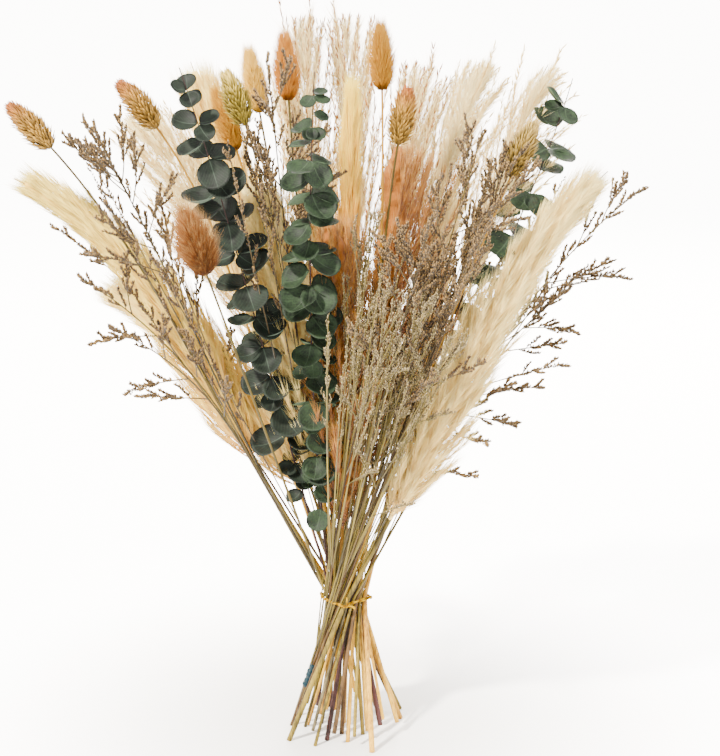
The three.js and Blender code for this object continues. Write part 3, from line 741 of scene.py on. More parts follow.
def plume_body(line, rng, tuft, lean):
    """The closed inside: a tube of 0.3 times the branches' sideways reach, narrower at both ends."""
    share = np.linspace(0, 0.97, BODY_POINTS)
    radius = BODY_SHARE * tuft * np.sin(np.radians(lean)) * plume_shape(share)
    radius = radius * np.minimum(1, 9 * (1 - share)) * np.minimum(1, 0.1 + 4 * share)
    radius = np.maximum(radius * rng.uniform(0.85, 1.15, BODY_POINTS), BODY_LEAST)
    verts, faces, _, which = tubes(on_head(line, share)[0][None], radius[None], BODY_SIDES)
    return verts, faces, 0.3 + 0.25 * rng.random(len(verts)), which


def build_plume(name, rng, finish, branches, hairs, tuft, lean, hair, loose, thick, fade=0.1, right=0.0):
    """Hairs at random places u of random branches, opened out by up to loose degrees and bent to the tip.
    Nearly all are drawn straight from root to end. Their shade rises along the hair, u and the head."""
    line = LINES[name]
    grown = plume_branches(line, rng, branches, tuft, lean, hair, right)
    share, roots, forward, first, second, length = grown
    count = int(hairs * DENSITY)
    of = rng.integers(0, branches, count)
    u = rng.uniform(0.0, 0.95, count) ** 0.9
    base = roots[of] + (length[of] / 2)[:, None] * bend(u[:, None], first[of], second[of])
    along_branch = unit((1 - u)[:, None] * first[of] + u[:, None] * second[of])
    open_out = np.radians(loose) * rng.random(count) ** 0.7
    hair_first = leaning(along_branch, rng.uniform(0, FULL_TURN, count), open_out)
    hair_second = unit(hair_first + 0.9 * forward[of] + rng.normal(0, 0.12, (count, 3)) + SAG)
    hair_length = hair * rng.uniform(0.55, 1.1, count) * np.interp(share[of], [0, 0.8, 1], [1, 1, 0.75])
    paths = bent_paths(base, hair_first, hair_second, hair_length, 3)
    radii = thick * rng.uniform(0.7, 1.2, (count, 1))
    straight = int(count * STRAIGHT_SHARE)
    verts, faces, along, which = joined(
        tubes(paths[:straight, ::2], radii[:straight], pointed=True),
        tubes(paths[straight:], radii[straight:] * BENT_TAPER, pointed=True),
    )
    tuft_tint = rng.random(branches)
    tint = 0.55 * rng.random(count) + 0.45 * tuft_tint[of]
    depth = 0.4 * u + fade * (share[of] - 0.5)
    shade = np.clip(along * 0.6 + depth[which], 0, 1)
    whole = joined((verts, faces, shade, which), plume_body(line, rng, tuft, lean))
    return add_grown(name, "plume", whole, PAMPAS_FINISH[finish], np.r_[tint, 0.5])


build_all("plume", build_plume, PLUMES)

# %% [markdown]
# ## Twigs read from the frame
#
# The reeds and the sprays are branched, and each branch has to grow where the coarse one does. The corners
# of a coarse node that stand clear of its stem fall into groups that hang together, one for each twig or
# leaf. A quadratic curve through a group is its twig, carried back to the stem.

# %% Find what stands off a stem
TWIG_POINTS = 9
TWIG_CLEAR, TWIG_LEAST, TWIG_CORNERS = 2.4, 8.0, 6


def groups_off_stem(line, clear):
    """Groups of corners more than clear from the stem, joined along the edges of the mesh."""
    corners, index = np.unique(line["triangles"].reshape(-1, 3).round(4), axis=0, return_inverse=True)
    faces = index.reshape(-1, 3)
    gaps = np.linalg.norm(corners[:, None] - line["points"][None, ::2], axis=2).min(1)
    edges = np.concatenate([faces[:, [0, 1]], faces[:, [1, 2]], faces[:, [2, 0]]])
    edges = edges[(gaps[edges] > clear).all(1)]
    label = np.arange(len(corners))
    while True:
        lowest = label[edges].min(1)
        if (label[edges] == lowest[:, None]).all():
            break
        np.minimum.at(label, edges[:, 0], lowest)
        np.minimum.at(label, edges[:, 1], lowest)
    used = np.unique(edges)
    return [corners[used[label[used] == key]] for key in np.unique(label[used])]


def nearest_on(line, points):
    """For each point, the distance along the line of its nearest place, and the gap to it."""
    gaps = np.linalg.norm(points[:, None] - line["points"][None], axis=2)
    best = gaps.argmin(1)
    return line["far"][best], gaps[np.arange(len(points)), best]


def read_twigs(name):
    """The node's twigs as paths (count, points, 3) from the stem to their tips."""
    line = LINES[name]
    paths = []
    for group in groups_off_stem(line, TWIG_CLEAR):
        _, gap = nearest_on(line, group)
        near, far = group[gap.argsort()[:4]].mean(0), group[gap.argmax()]
        span = np.linalg.norm(far - near)
        if len(group) < TWIG_CORNERS or span < TWIG_LEAST:
            continue
        t = (group - near) @ (far - near) / span**2
        curve = [np.polyfit(t, group[:, k], 2) for k in range(3)]
        back = np.linspace(-0.6, 0.1, 60)
        tail = np.stack([np.polyval(c, back) for c in curve], 1)
        start = back[nearest_on(line, tail)[1].argmin()]
        share = np.linspace(start, min(t.max(), 1.0), TWIG_POINTS)
        paths.append(np.stack([np.polyval(c, share) for c in curve], 1))
    return np.array(paths)


TWIGS = {name: read_twigs(name) for name in LINES if kind_of(name) in ("reed", "limonium", "fluff")}
print("twigs found:", {name: len(paths) for name, paths in TWIGS.items()})

# %% [markdown]
# ## Reed plumes
#
# A reed plume is a sheaf of long fine branches that rise almost side by side. Each carries small seeds
# along its outer part and fine pale hairs, most of them lower down, so the tops look beaded and the middle
# fluffy.

# %% Build the reeds
SEED = turned_profile([0.5, 0.45], [0, 1.4, 3.4, 5.2], 4, 0.7)
SEEDS_EACH = 20
REED_FINISH = {
    "twig": fibre_material("reed branch", "d0a858", "e4c478", "f0d898", 0.2),
    "hair": fibre_material("reed hair", "fad47a", "fee8a4", "fff5c8", 0.1),
    "seed": fibre_material("reed seed", "8c5420", "8a4c1c", "bc8448", 0.6),
    "pale_seed": fibre_material("pale reed seed", "d4b060", "e8cc84", "fcecb8", 0.3),
}
# name: extra branches, lean, nod to the right, hairs on a branch, finish of the seeds
REEDS = {
    "reed_top_left": (44, 15, 0.1, 170, "seed"),
    "reed_top": (40, 14, 0.1, 150, "seed"),
    "reed_top_right": (50, 18, 0.15, 190, "seed"),
    "reed_right": (52, 19, 0.3, 190, "pale_seed"),
    "reed_far_right": (44, 19, 0.5, 150, "pale_seed"),
    "reed_left": (60, 24, -0.3, 200, "pale_seed"),
    "reed_back": (30, 14, 0.0, 160, "pale_seed"),
}
REED_LENGTH = 105
REED_RADII = np.linspace(0.34, 0.16, TWIG_POINTS)[None]
REED_HAIR_RADIUS = 0.12
NOD_WAY = np.array([1.0, 0.35, -0.4])
STRONG_NOD, UPRIGHT = 0.2, 0.3


def more_twigs(line, rng, count, length, lean, low=0.0, nod=0.0):
    """Extra branches by the golden angle, between the ones of the frame. Their ends nod to the right. Where
    that nod is strong, the branches at the front lean about a third as far, so that the head stays open."""
    share = np.sort(rng.uniform(low, 0.85, count))
    roots, forward = on_head(line, share)
    angle = np.arange(count) * GOLDEN_ANGLE + rng.random(count)
    slant = np.radians(lean) * rng.uniform(0.55, 1.1, count)
    slant = slant * np.where((np.cos(angle) > 0) & (nod > STRONG_NOD), UPRIGHT, 1.0)
    wanted = length * np.interp(share, [0, 1], [1, 0.5]) * rng.uniform(0.8, 1.1, count)
    reach = np.minimum(wanted, (1.0 - share) * line["head"])
    second = unit(leaning(forward, angle, slant * 0.5) + nod * NOD_WAY)
    return bent_paths(roots, leaning(forward, angle, slant * 1.4), second, reach, TWIG_POINTS)


def reed_seeds(paths, rng):
    """Seeds along the outer two thirds of each branch, turned out from it by 8 to 26 degrees."""
    of = np.repeat(np.arange(len(paths)), SEEDS_EACH)
    share = np.tile(np.linspace(0.3, 0.98, SEEDS_EACH), len(paths)) + rng.normal(0, 0.012, len(of))
    places, forward = on_paths(paths, of, share)
    roll = rng.uniform(0, FULL_TURN, len(of))
    way = leaning(forward, roll, np.radians(rng.uniform(8, 26, len(of))))
    return scattered(SEED, places, way, roll, rng.uniform(0.75, 1.15, len(of)))


def reed_hairs(paths, rng, number):
    """Straight hairs, most of them below the middle of a branch and shorter towards its end."""
    of = rng.integers(0, len(paths), number)
    share = rng.beta(1.2, 1.7, number)
    places, forward = on_paths(paths, of, share)
    first = leaning(forward, rng.uniform(0, FULL_TURN, number), np.radians(rng.uniform(12, 40, number)))
    second = unit(first + forward * 0.8 + rng.normal(0, 0.2, (number, 3)))
    length = rng.uniform(8, 19, number) * np.interp(share, [0, 0.7, 1], [1, 1, 0.35])
    ends = bent_paths(places, first, second, length, 3)[:, ::2]
    return tubes(ends, REED_HAIR_RADIUS, pointed=True)


def build_reed(name, rng, extra, lean, nod, hairs, seed_finish):
    twigs = more_twigs(LINES[name], rng, extra, REED_LENGTH, lean, nod=nod)
    paths = np.concatenate([TWIGS[name], twigs])
    count = len(paths)
    branches = tubes(paths, REED_RADII, pointed=True)
    total = add_grown(name, "branches", branches, REED_FINISH["twig"], rng.random(count))
    seeds = reed_seeds(paths, rng)
    total += add_grown(name, "seeds", seeds, REED_FINISH[seed_finish], rng.random(count * SEEDS_EACH))
    number = int(hairs * DENSITY) * count
    hair = reed_hairs(paths, rng, number)
    return total + add_grown(name, "hairs", hair, REED_FINISH["hair"], rng.random(number))


build_all("reed", build_reed, REEDS)

# %% [markdown]
# ## Sea lavender and fine grass
#
# Both sprays branch twice. The florets of sea lavender are small papery cups that stand in rows along the
# upper side of curved twigs. Those of the fine grass are smaller, paler and all round.

# %% Build the sprays
CUP = turned_profile([0.68], [0, 1.1, 2.5], 3)
GRAIN = turned_profile([0.5], [0, 1.0, 2.3], 3)
SPRAY_FINISH = {
    "twig": fibre_material("sea lavender twig", "3e3014", "4e3e1a", "5e4c22", 0.4),
    "cup": fibre_material("sea lavender floret", "160e04", "3c2a10", "a8844c", 1.0),
    "fine_twig": fibre_material("fine grass twig", "584c18", "6e5e20", "80702c", 0.3),
    "grain": fibre_material("fine grass floret", "30240e", "5a4a24", "d4bc8c", 1.0),
}
# kind: floret, its size, finish of the twigs, finish of the florets
FLORETS = {"limonium": (CUP, 0.95, "twig", "cup"), "fluff": (GRAIN, 0.9, "fine_twig", "grain")}
# habit: stalks, extra branches, their length and lean, side twigs on each, their length and slant,
# florets on a side twig, florets on a branch
SPRAY_HABITS = {
    "sparse": (1, 0, 50, 30, 8, 11, 34, 30, 50),
    "limonium": (5, 5, 62, 34, 7, 15, 32, 32, 44),
    "rich": (5, 9, 62, 34, 7, 15, 32, 32, 44),
    "fluff": (15, 9, 78, 14, 7, 11, 22, 9, 24),
}
HABIT_OF = {
    "limonium_left_edge": "sparse",
    "limonium_left_mid": "sparse",
    "limonium_left_low": "sparse",
    "limonium_low_right": "sparse",
    "limonium_edge_right": "sparse",
    "limonium_left_top": "rich",
    "limonium_top": "rich",
}
SIDE_POINTS = 5
STALK_POINTS, STALK_LOW = 17, 9
BRANCH_RADII = (0.42, 0.2)
SIDE_RADII = (0.24, 0.12)
STALK_RADIUS = 0.42
FLORET_SLANT = 50
FLORET_ROLL = 6.28
SIDE_RISE = 0.25 * UP


def side_twigs(paths, rng, each, length, slant):
    """Twigs of the second order, leaning off the first, shorter towards the tip."""
    of = np.repeat(np.arange(len(paths)), each)
    share = np.tile(np.linspace(0.28, 0.92, each), len(paths)) + rng.normal(0, 0.03, len(of))
    places, forward = on_paths(paths, of, share)
    angle = np.tile(np.arange(each) * GOLDEN_ANGLE, len(paths)) + of * 1.7
    tilt = np.radians(slant) * rng.uniform(0.7, 1.2, len(of))
    reach = length * np.interp(share, [0, 1], [1.15, 0.5]) * rng.uniform(0.7, 1.2, len(of))
    second = unit(leaning(forward, angle, tilt * 0.6) + SIDE_RISE)
    return bent_paths(places, leaning(forward, angle, tilt), second, reach, SIDE_POINTS)


def florets_on(paths, rng, each, shape, size, low, upward):
    """Florets along paths from the share low on, turned out from them and then upward."""
    of = np.repeat(np.arange(len(paths)), each)
    share = low + (1 - low) * (np.tile(np.arange(each), len(paths)) + rng.random(len(of))) / each
    places, forward = on_paths(paths, of, share)
    angle = rng.uniform(0, FULL_TURN, len(of))
    way = leaning(forward, angle, np.radians(FLORET_SLANT) * rng.uniform(0.5, 1.3, len(of)))
    scale = size * rng.uniform(0.7, 1.25, len(of))
    return scattered(shape, places, unit(way + upward * UP), rng.uniform(0, FLORET_ROLL, len(of)), scale)


def low_stalks(line, rng, count):
    """Thin stalks that leave the stem low down and climb beside it into the head."""
    share = rng.uniform(-0.95, -0.1, count)
    roots, forward = on_head(line, share)
    angle = rng.uniform(0, FULL_TURN, count)
    slant = np.radians(rng.uniform(3, 8, count))
    reach = (rng.uniform(0.6, 0.9, count) - share) * line["head"]
    second = leaning(forward, angle + 0.5, slant * 0.6)
    return bent_paths(roots, leaning(forward, angle, slant), second, reach, STALK_POINTS)


def tapered(paths, radii, sides=3):
    """Pointed tubes whose radius runs evenly between the two given."""
    return tubes(paths, np.linspace(*radii, paths.shape[1])[None], sides, pointed=True)


def build_spray(name, rng, stalks, extra, length, lean, each, side_length, side_slant, per_side, per_top):
    """The branches are the frame's, the extra ones, the stalks' upper halves and the top of the stem. They
    carry side twigs, and both carry florets."""
    line = LINES[name]
    shape, size, twig, cup = FLORETS[kind_of(name)]
    stalks = low_stalks(line, rng, stalks)
    added = more_twigs(line, rng, extra, length, lean, low=0.1)
    top = on_head(line, np.linspace(0.55, 1.0, TWIG_POINTS))[0][None]
    grown = [paths for paths in (TWIGS[name], added) if len(paths)]
    main = np.concatenate([*grown, stalks[:, STALK_LOW - 1 :], top])
    sides = side_twigs(main, rng, each, side_length, side_slant)
    low = tubes(stalks[:, :STALK_LOW], STALK_RADIUS, 5)
    twigs = joined(tapered(main, BRANCH_RADII, 4), tapered(sides, SIDE_RADII), low)
    total = add_grown(name, "twigs", twigs, SPRAY_FINISH[twig], rng.random(twigs[3].max() + 1))
    cups = joined(
        florets_on(sides, rng, per_side, shape, size, 0.1, 0.9),
        florets_on(main, rng, per_top, shape, size, 0.55, 0.6),
    )
    return total + add_grown(name, "florets", cups, SPRAY_FINISH[cup], rng.random(cups[3].max() + 1))


SPRAYS = {
    name: SPRAY_HABITS[HABIT_OF.get(name, kind_of(name))] for name in LINES if kind_of(name) in FLORETS
}
build_all("spray", build_spray, SPRAYS)

# %% [markdown]
# ## Bunny tails
#
# A bunny tail is an egg of soft hairs round a small core. The hairs lie forward and open out a little, and
# their ends are paler than their roots: partly their own colour, partly a painted bright rim, standing in
# for the light that shines through the hairs at the head's edge. About a quarter are longer, stray hairs,
# and their ends are paler still, which paints most of that rim.

# %% Build the bunny tails
BUNNY_FINISH = {
    "burnt": fibre_material("burnt orange bunny hair", "401c02", "74400c", "e0b878", 0.5, sheen=0.0),
    "tan": fibre_material("tan bunny hair", "754602", "a46c06", "dcb848", 0.35, sheen=0.0),
    "orange": fibre_material("orange bunny hair", "744206", "a8640c", "e2b25a", 0.35, sheen=0.0),
    "pale": fibre_material("pale bunny hair", "a07818", "d0a030", "fcdc84", 0.3, sheen=0.0),
}
# name: finish, width
BUNNIES = {
    "bunny_front": ("burnt", 1.45),
    "bunny_top": ("tan", 1.0),
    "bunny_orange": ("orange", 1.05),
    "bunny_left": ("tan", 0.95),
    "bunny_cream": ("pale", 1.0),
    "bunny_back": ("tan", 0.8),
}
BUNNY_HAIRS, BUNNY_CORE = 8000, 4.6
STRAY_SHARE, STRAY_LONGER = 0.28, 1.45
STRAY_RADIUS, HAIR_RADIUS = 0.13, 0.1
# how far the hair ends go towards the pale tip colour: the strays' paler ends are partly painted rim light
STRAY_PALE_TIP_AND_RIM_LIGHT, HAIR_PALE = 0.85, 0.6


def egg(share):
    """The outline of an egg-shaped head, widest a little below its middle."""
    return np.sin(np.pi * share**0.8) ** 0.7


def build_bunny(name, rng, finish, width):
    """Hairs that start within an egg. Their slant falls from 52 degrees at its foot to 12 at its tip."""
    number = int(BUNNY_HAIRS * DENSITY)
    share = rng.random(number)
    places, forward = on_head(LINES[name], share * 0.8)
    angle = rng.uniform(0, FULL_TURN, number)
    out = leaning(forward, angle, np.full(number, np.pi / 2))
    core = BUNNY_CORE * width * egg(0.06 + 0.9 * share) * rng.uniform(0.3, 1, number)
    slant = np.radians(np.interp(share, [0, 0.5, 1], [52, 36, 12])) * rng.uniform(0.75, 1.2, number)
    first = leaning(forward, angle, slant)
    second = leaning(forward, angle + rng.normal(0, 0.3, number), slant * 0.75)
    length = rng.uniform(5.5, 9.5, number) * np.interp(share, [0, 0.3, 1], [0.8, 1, 0.95])
    stray = rng.random(number) < STRAY_SHARE
    length = length * width * np.where(stray, STRAY_LONGER, 1.0)
    ends = bent_paths(places + out * core[:, None], first, second, length, 3)[:, ::2]
    hair = tubes(ends, np.where(stray, STRAY_RADIUS, HAIR_RADIUS)[:, None], pointed=True)
    # the paler ends of the stray hairs paint, in part, the bright rim that light through the hairs gives the
    # head
    shade = hair[2] * np.where(stray, STRAY_PALE_TIP_AND_RIM_LIGHT, HAIR_PALE)[hair[3]]
    return add_grown(name, "hairs", hair, BUNNY_FINISH[finish], rng.random(number), shade)


build_all("bunny", build_bunny, BUNNIES)

# %% [markdown]
# ## Canary grass heads
#
# A canary grass head is an egg of flat pointed scales that overlap like roof tiles, straw with a green
# stripe, some of them reddish at the end.

# %% Build the canary grass heads
SCALE = turned_profile([0.85, 0.95], [0, 1.4, 4.2, 7.2], 5, 0.4)
SCALE_STRETCH = np.array([0.75, 0.75, 1.0])
CANARY_FINISH = {
    "olive": fibre_material("olive canary scale", "584a14", "988430", "dcc064", 0.8, 0.6, 0.0),
    "orange": fibre_material("orange canary scale", "5c4616", "a88034", "8e3e16", 0.9, 0.6, 0.0),
    "straw": fibre_material("straw canary scale", "4e3c10", "846a2c", "b69a56", 0.9, 0.6, 0.0),
}
CANARIES = {
    "canary_far_left": ("orange",),
    "canary_left": ("orange",),
    "canary_middle": ("olive",),
    "canary_right": ("straw",),
    "canary_centre": ("orange",),
    "canary_back": ("olive",),
}
SCALES, SCALE_RADIUS, CORE_RADIUS = 400, 5.0, 4.4
CORE_POINTS, CORE_SIDES, CORE_TINT = 9, 10, 0.2


def build_canary(name, rng, finish):
    """Scales by the golden angle on an egg, each with its flat side outward, round an egg-shaped core.
    Their shade rises along the scale and with the square of the height."""
    line = LINES[name]
    share = (np.arange(SCALES) + 0.5) / SCALES
    places, forward = on_head(line, share * 0.86)
    angle = np.arange(SCALES) * GOLDEN_ANGLE
    out = leaning(forward, angle, np.full(SCALES, np.pi / 2))
    radius = SCALE_RADIUS * np.sin(np.pi * (0.08 + 0.84 * share) ** 0.85) ** 0.7
    slant = np.radians(np.interp(share, [0, 0.5, 1], [44, 34, 8])) * rng.uniform(0.6, 1.4, SCALES)
    way = leaning(forward, angle + rng.normal(0, 0.1, SCALES), slant)
    side, other = square_to(way)
    flat = np.arctan2((out * other).sum(1), (out * side).sum(1)) + np.pi / 2
    size = rng.uniform(0.72, 1.0, SCALES)[:, None] * SCALE_STRETCH
    scales = scattered(SCALE, places + out * radius[:, None], way, flat, size)
    core_places, _ = on_head(line, np.linspace(0, 0.9, CORE_POINTS))
    core_radius = CORE_RADIUS * egg(np.linspace(0.04, 0.96, CORE_POINTS))
    core = tubes(core_places[None], core_radius[None], CORE_SIDES)
    both = joined(scales, core)
    tint = np.r_[rng.random(SCALES), CORE_TINT]
    shade = 0.55 * both[2] + 0.5 * np.r_[share**2, 0.0][both[3]]
    return add_grown(name, "scales", both, CANARY_FINISH[finish], tint, shade)


build_all("canary", build_canary, CANARIES)

# %% [markdown]
# ## Eucalyptus leaves
#
# The leaves are round, leathery and slightly cupped, and each pair is turned a quarter from the last. A
# leaf is a disc in polar coordinates with a little thickness, a fold along its rib and a wavy rim. The
# veins fan out from the stalk, and a pale bloom lies over the green in patches.

# %% The leaf material
LEAF_ROUGHNESS = 0.5
LEAF_BUMP = (0.5, 0.0003)


def make_vein_group():
    """A rib that narrows towards the tip, veins as lines of equal along - 0.8 |across|, and bloom where a
    fine noise and a broad one are both high. The underside is paler."""
    colours = {"Deep": "2f4438", "Bloom": "6f8b7c", "Vein": "93a594"}
    group, nodes, given, result = new_group("leaf veins", colours, ["Color", "Height", "Roughness"])
    along = nodes.field("along")
    side = nodes.math("ABSOLUTE", nodes.field("across"))
    rib = nodes.math("LESS_THAN", side, nodes.math("MULTIPLY_ADD", along, -0.035, 0.045))
    fan = nodes.math("MULTIPLY_ADD", side, -0.8, along)
    thin = nodes.math("LESS_THAN", nodes.math("PINGPONG", nodes.math("MULTIPLY", fan, 7.0), 0.5), 0.07)
    net = nodes.noise(900, detail=4.0)
    patch = nodes.math("MULTIPLY_ADD", nodes.noise(130), 2.2, -0.75)
    share = nodes.clamp(nodes.math("MULTIPLY_ADD", net, 1.8, nodes.math("SUBTRACT", patch, 0.75)))
    base = nodes.mix(share, given["Deep"], given["Bloom"])
    lines = nodes.math("MAXIMUM", nodes.math("MULTIPLY", thin, 0.08), nodes.math("MULTIPLY", rib, 0.25))
    upper = nodes.mix(lines, base, given["Vein"])
    under = nodes.math("MULTIPLY", nodes.field("under"), nodes.math("MULTIPLY_ADD", net, 0.6, 0.35))
    nodes.feed(result["Color"], nodes.mix(under, upper, given["Vein"]))
    nodes.feed(result["Height"], nodes.math("MULTIPLY_ADD", lines, 0.8, nodes.math("MULTIPLY", net, 0.25)))
    nodes.feed(result["Roughness"], nodes.math("MULTIPLY_ADD", share, 0.25, 0.55))
    return group


VEIN = make_vein_group()
LEAF_COLOURS = {"green": ("080f07", "2a3a25", "566850"), "grey": ("050805", "1e271e", "5a6a5c")}
LEAF_FINISH = {
    key: group_material(key + " eucalyptus leaf", VEIN, codes, LEAF_ROUGHNESS, bump=LEAF_BUMP)
    for key, codes in LEAF_COLOURS.items()
}
print("groups made:", [group.name for group in bpy.data.node_groups])

# %% Read the coarse leaves and build the fine ones
# name: finish, size against the coarse leaves, and where its leaves face: -1 to the front, 1 to the back
EUCALYPTUS = {
    "eucalyptus_left": ("grey", 0.95, -1.0),
    "eucalyptus_centre": ("green", 0.95, -1.0),
    "eucalyptus_right": ("green", 1.2, -1.0),
    "eucalyptus_back": ("green", 0.95, 1.0),
}
LEAF_CLEAR, LEAF_CORNERS, LEAF_FARTHEST = 2.6, 8, 40
STALK_GAP, REACH_IN_SIZES = 0.25, 1.9
LEAF_RINGS, LEAF_SPOKES, LEAF_THICK = 5, 18, 0.28
RIM_THIN = 0.35


def read_leaves(line):
    """Each leaf's root on the stem, its direction and its half-width. A coarse leaf's corners lie in a
    plane, and its root is where the stem crosses that plane nearest to it."""
    found = []
    for group in groups_off_stem(line, LEAF_CLEAR):
        if len(group) < LEAF_CORNERS:
            continue
        centre = group.mean(0)
        normal = np.linalg.svd(group - centre)[2][2]
        height = (line["points"] - centre) @ normal
        crossing = line["points"][:-1][(height[:-1] < 0) != (height[1:] < 0)]
        near = np.linalg.norm(crossing - centre, axis=1)
        if near.min(initial=LEAF_FARTHEST + 1) > LEAF_FARTHEST:
            continue
        root = crossing[near.argmin()]
        way = unit(centre - root)
        reach = ((group - root) @ way).max()
        found.append((root, way, (reach - STALK_GAP) / REACH_IN_SIZES))
    return found


def leaf_sheet(root, way, size, forward, front, rng):
    """A disc in polar coordinates (r, a), narrowed at its stalk and turned partly to the front. Its height
    is cup (r^2 - 1) + fold |x| + wave r^2 sin(3a) + 0.1, and falls to 0 at the stalk."""
    r = np.linspace(0, 1, LEAF_RINGS + 1)[1:, None]
    a = np.linspace(0, 2 * np.pi, LEAF_SPOKES, endpoint=False)[None, :]
    x = np.r_[0, (r * np.sin(a) * (1 + 0.04 * np.cos(2 * a))).ravel()]
    y = np.r_[0, (-r * np.cos(a)).ravel()]
    rr = np.hypot(x, y)
    narrow = np.interp(y, [-1, -0.8, -0.4], [0.25, 0.85, 1.0])
    cup, fold, wave = rng.uniform(0.22, 0.46), rng.uniform(0.0, 0.2), rng.uniform(-0.09, 0.09)
    ripple = rr**2 * np.sin(3 * np.arctan2(x, y) + rng.uniform(0, 6))
    lift = cup * (rr**2 - 1) + fold * np.abs(x) + wave * ripple + 0.1
    normal = unit(forward - (forward @ way) * way)
    turn = rng.uniform(0.15, 1.3) * (1 - 0.6 * abs(way @ front))
    normal = unit(normal + turn * (front - (front @ way) * way))
    across = np.cross(normal, way)
    stalk = 0.4 + size * (0.97 + 0.95 * y)
    middle = root + way * stalk[:, None] + across * (size * x * narrow)[:, None]
    lift = lift * np.interp(y, [-1, -0.7], [0.0, 1.0])
    thin = LEAF_THICK / 2 * np.where(rr > 0.99, RIM_THIN, 1.0)
    top = middle + normal * (size * lift + thin)[:, None]
    bottom = middle + normal * (size * lift - thin)[:, None]
    under = np.repeat([0.0, 1.0], len(x))
    return np.concatenate([top, bottom]), np.tile(x, 2), np.tile((y + 1) / 2, 2), under


def leaf_faces():
    """Triangles of one leaf: a fan and rings on top, the same turned over below, and the rim."""
    _, a, b = ring(LEAF_SPOKES)
    each = 1 + LEAF_SPOKES * LEAF_RINGS
    rim = 1 + LEAF_SPOKES * (LEAF_RINGS - 1)
    rings = copies(wall(a, b, LEAF_SPOKES)[:, ::-1], LEAF_SPOKES, LEAF_RINGS - 1) + 1
    top = np.concatenate([faces_of(0, a + 1, b + 1), rings])
    return np.concatenate([top, top[:, ::-1] + each, wall(a, b, each)[:, ::-1] + rim])


def young_leaves(line, found, rng):
    """A smaller leaf between each two of the frame, a quarter turn on from the lower one."""
    order = np.array([root[2] for root, _, _ in found]).argsort()
    extra = []
    for low, high in zip(order[:-1], order[1:]):
        root, way, size = found[low]
        place, forward = at(line, nearest_on(line, ((root + found[high][0]) / 2)[None])[0])
        forward = forward[0]
        lean = way @ forward
        flat = np.cross(forward, way) + rng.normal(0, 0.35, 3)
        flat = unit(flat - (flat @ forward) * forward)
        young = unit(flat * math.sqrt(1 - lean**2) + forward * lean)
        extra.append((place[0], young, size * rng.uniform(0.8, 1.02)))
    return extra


def build_leaves(name, rng, finish, scale, facing):
    """Every leaf strays a little from its direction, and one that faces the viewer droops."""
    line = LINES[name]
    front = np.array([0.0, facing, 0.15])
    sheets = []
    found = read_leaves(line)
    for root, way, size in found + young_leaves(line, found, rng):
        forward = at(line, nearest_on(line, root[None])[0])[1][0]
        droop = max(0, way @ front) * max(0, 0.75 + way @ forward)
        way = unit(way + rng.normal(0, 0.18, 3) - droop * forward)
        sheets.append(leaf_sheet(root, way, size * scale * rng.uniform(0.88, 1.1), forward, front, rng))
    verts, across, along, under = (np.concatenate(column) for column in zip(*sheets))
    faces = copies(leaf_faces(), len(sheets[0][0]), len(sheets))
    print(name, "leaves:", len(sheets))
    fields = {"across": across, "along": along, "under": under}
    return add_piece(name + "_leaves", verts, faces, LEAF_FINISH[finish], name, **fields)


build_all("leaf", build_leaves, EUCALYPTUS)

# %% [markdown]
# ## The tie and the wrap
#
# Two thin yellow strands are twisted round the stems. The coarse ring gives their path: the mean of its
# corners at each angle. The strands wind round that path, and their ends stand up at the front. Lower down,
# a strip of teal tape is wound round one stem.

# %% The tie
RING_SIDES = 5
TIE_STEPS = 360
TIE_RISE, TIE_WAVES, TIE_PHASE = 1.2, 3, 1.0
STRAND_RADIUS, STRAND_SIDES, STRAND_TURNS = 0.5, 6, 24
TWIST_MARKS = 90
KNOT_NEAR = (4, -40)
# the knot's three ends: offset from the knot, first direction, last direction, length
KNOT_ENDS = (
    ((0, -0.4, 0), (0.1, -0.2, 1.0), (-0.1, 0.1, 1.0), 6.5),
    ((1.2, -0.4, 0), (0.9, -0.3, 0.2), (0.6, -0.1, -0.6), 5.0),
    ((-3, -0.2, 0), (1.0, -0.15, 0.3), (1.0, 0.0, -0.4), 9.0),
)
KNOT_POINTS = 8


def closed_way(path):
    """The direction of a closed path at each point, and the level direction square to it."""
    forward = unit(np.roll(path, -1, 0) - np.roll(path, 1, 0))
    return forward, unit(np.cross(forward, UP))


def twisted(path, phase):
    """A strand that winds round a closed path: path + radius (cos w side + sin w up), w turning
    steadily."""
    w = 2 * np.pi * STRAND_TURNS * np.linspace(0, 1, len(path), endpoint=False) + phase
    return path + STRAND_RADIUS * around(w, closed_way(path)[1], UP)


def closed_tube(path):
    """A ring-shaped tube along a closed path."""
    count = len(path)
    forward, side = closed_way(path)
    turn, a, b = ring(STRAND_SIDES)
    verts = path[:, None] + STRAND_RADIUS * around(turn, side[:, None], np.cross(forward, side)[:, None])
    faces = copies(wall(a, b, STRAND_SIDES), STRAND_SIDES, count) % (count * STRAND_SIDES)
    along = np.repeat(np.arange(count) / count, STRAND_SIDES)
    return verts.reshape(-1, 3), faces, along, np.zeros(len(along), int)


def read_tie():
    """The middle line of the coarse ring, made to rise and fall a little round the bundle."""
    corners = np.unique(triangles_of("tie").reshape(-1, 3).round(4), axis=0)
    off = corners[:, :2] - corners[:, :2].mean(0)
    middle = corners[np.arctan2(off[:, 1], off[:, 0]).argsort()].reshape(-1, RING_SIDES, 3).mean(1)
    spots = np.linspace(0, len(middle), TIE_STEPS, endpoint=False)
    path = between(spots, np.arange(len(middle) + 1), np.vstack([middle, middle[:1]]))
    turn = np.linspace(0, 2 * np.pi, TIE_STEPS, endpoint=False)
    path[:, 2] = TIE_HEIGHT + TIE_RISE * np.sin(turn * TIE_WAVES + TIE_PHASE)
    return path


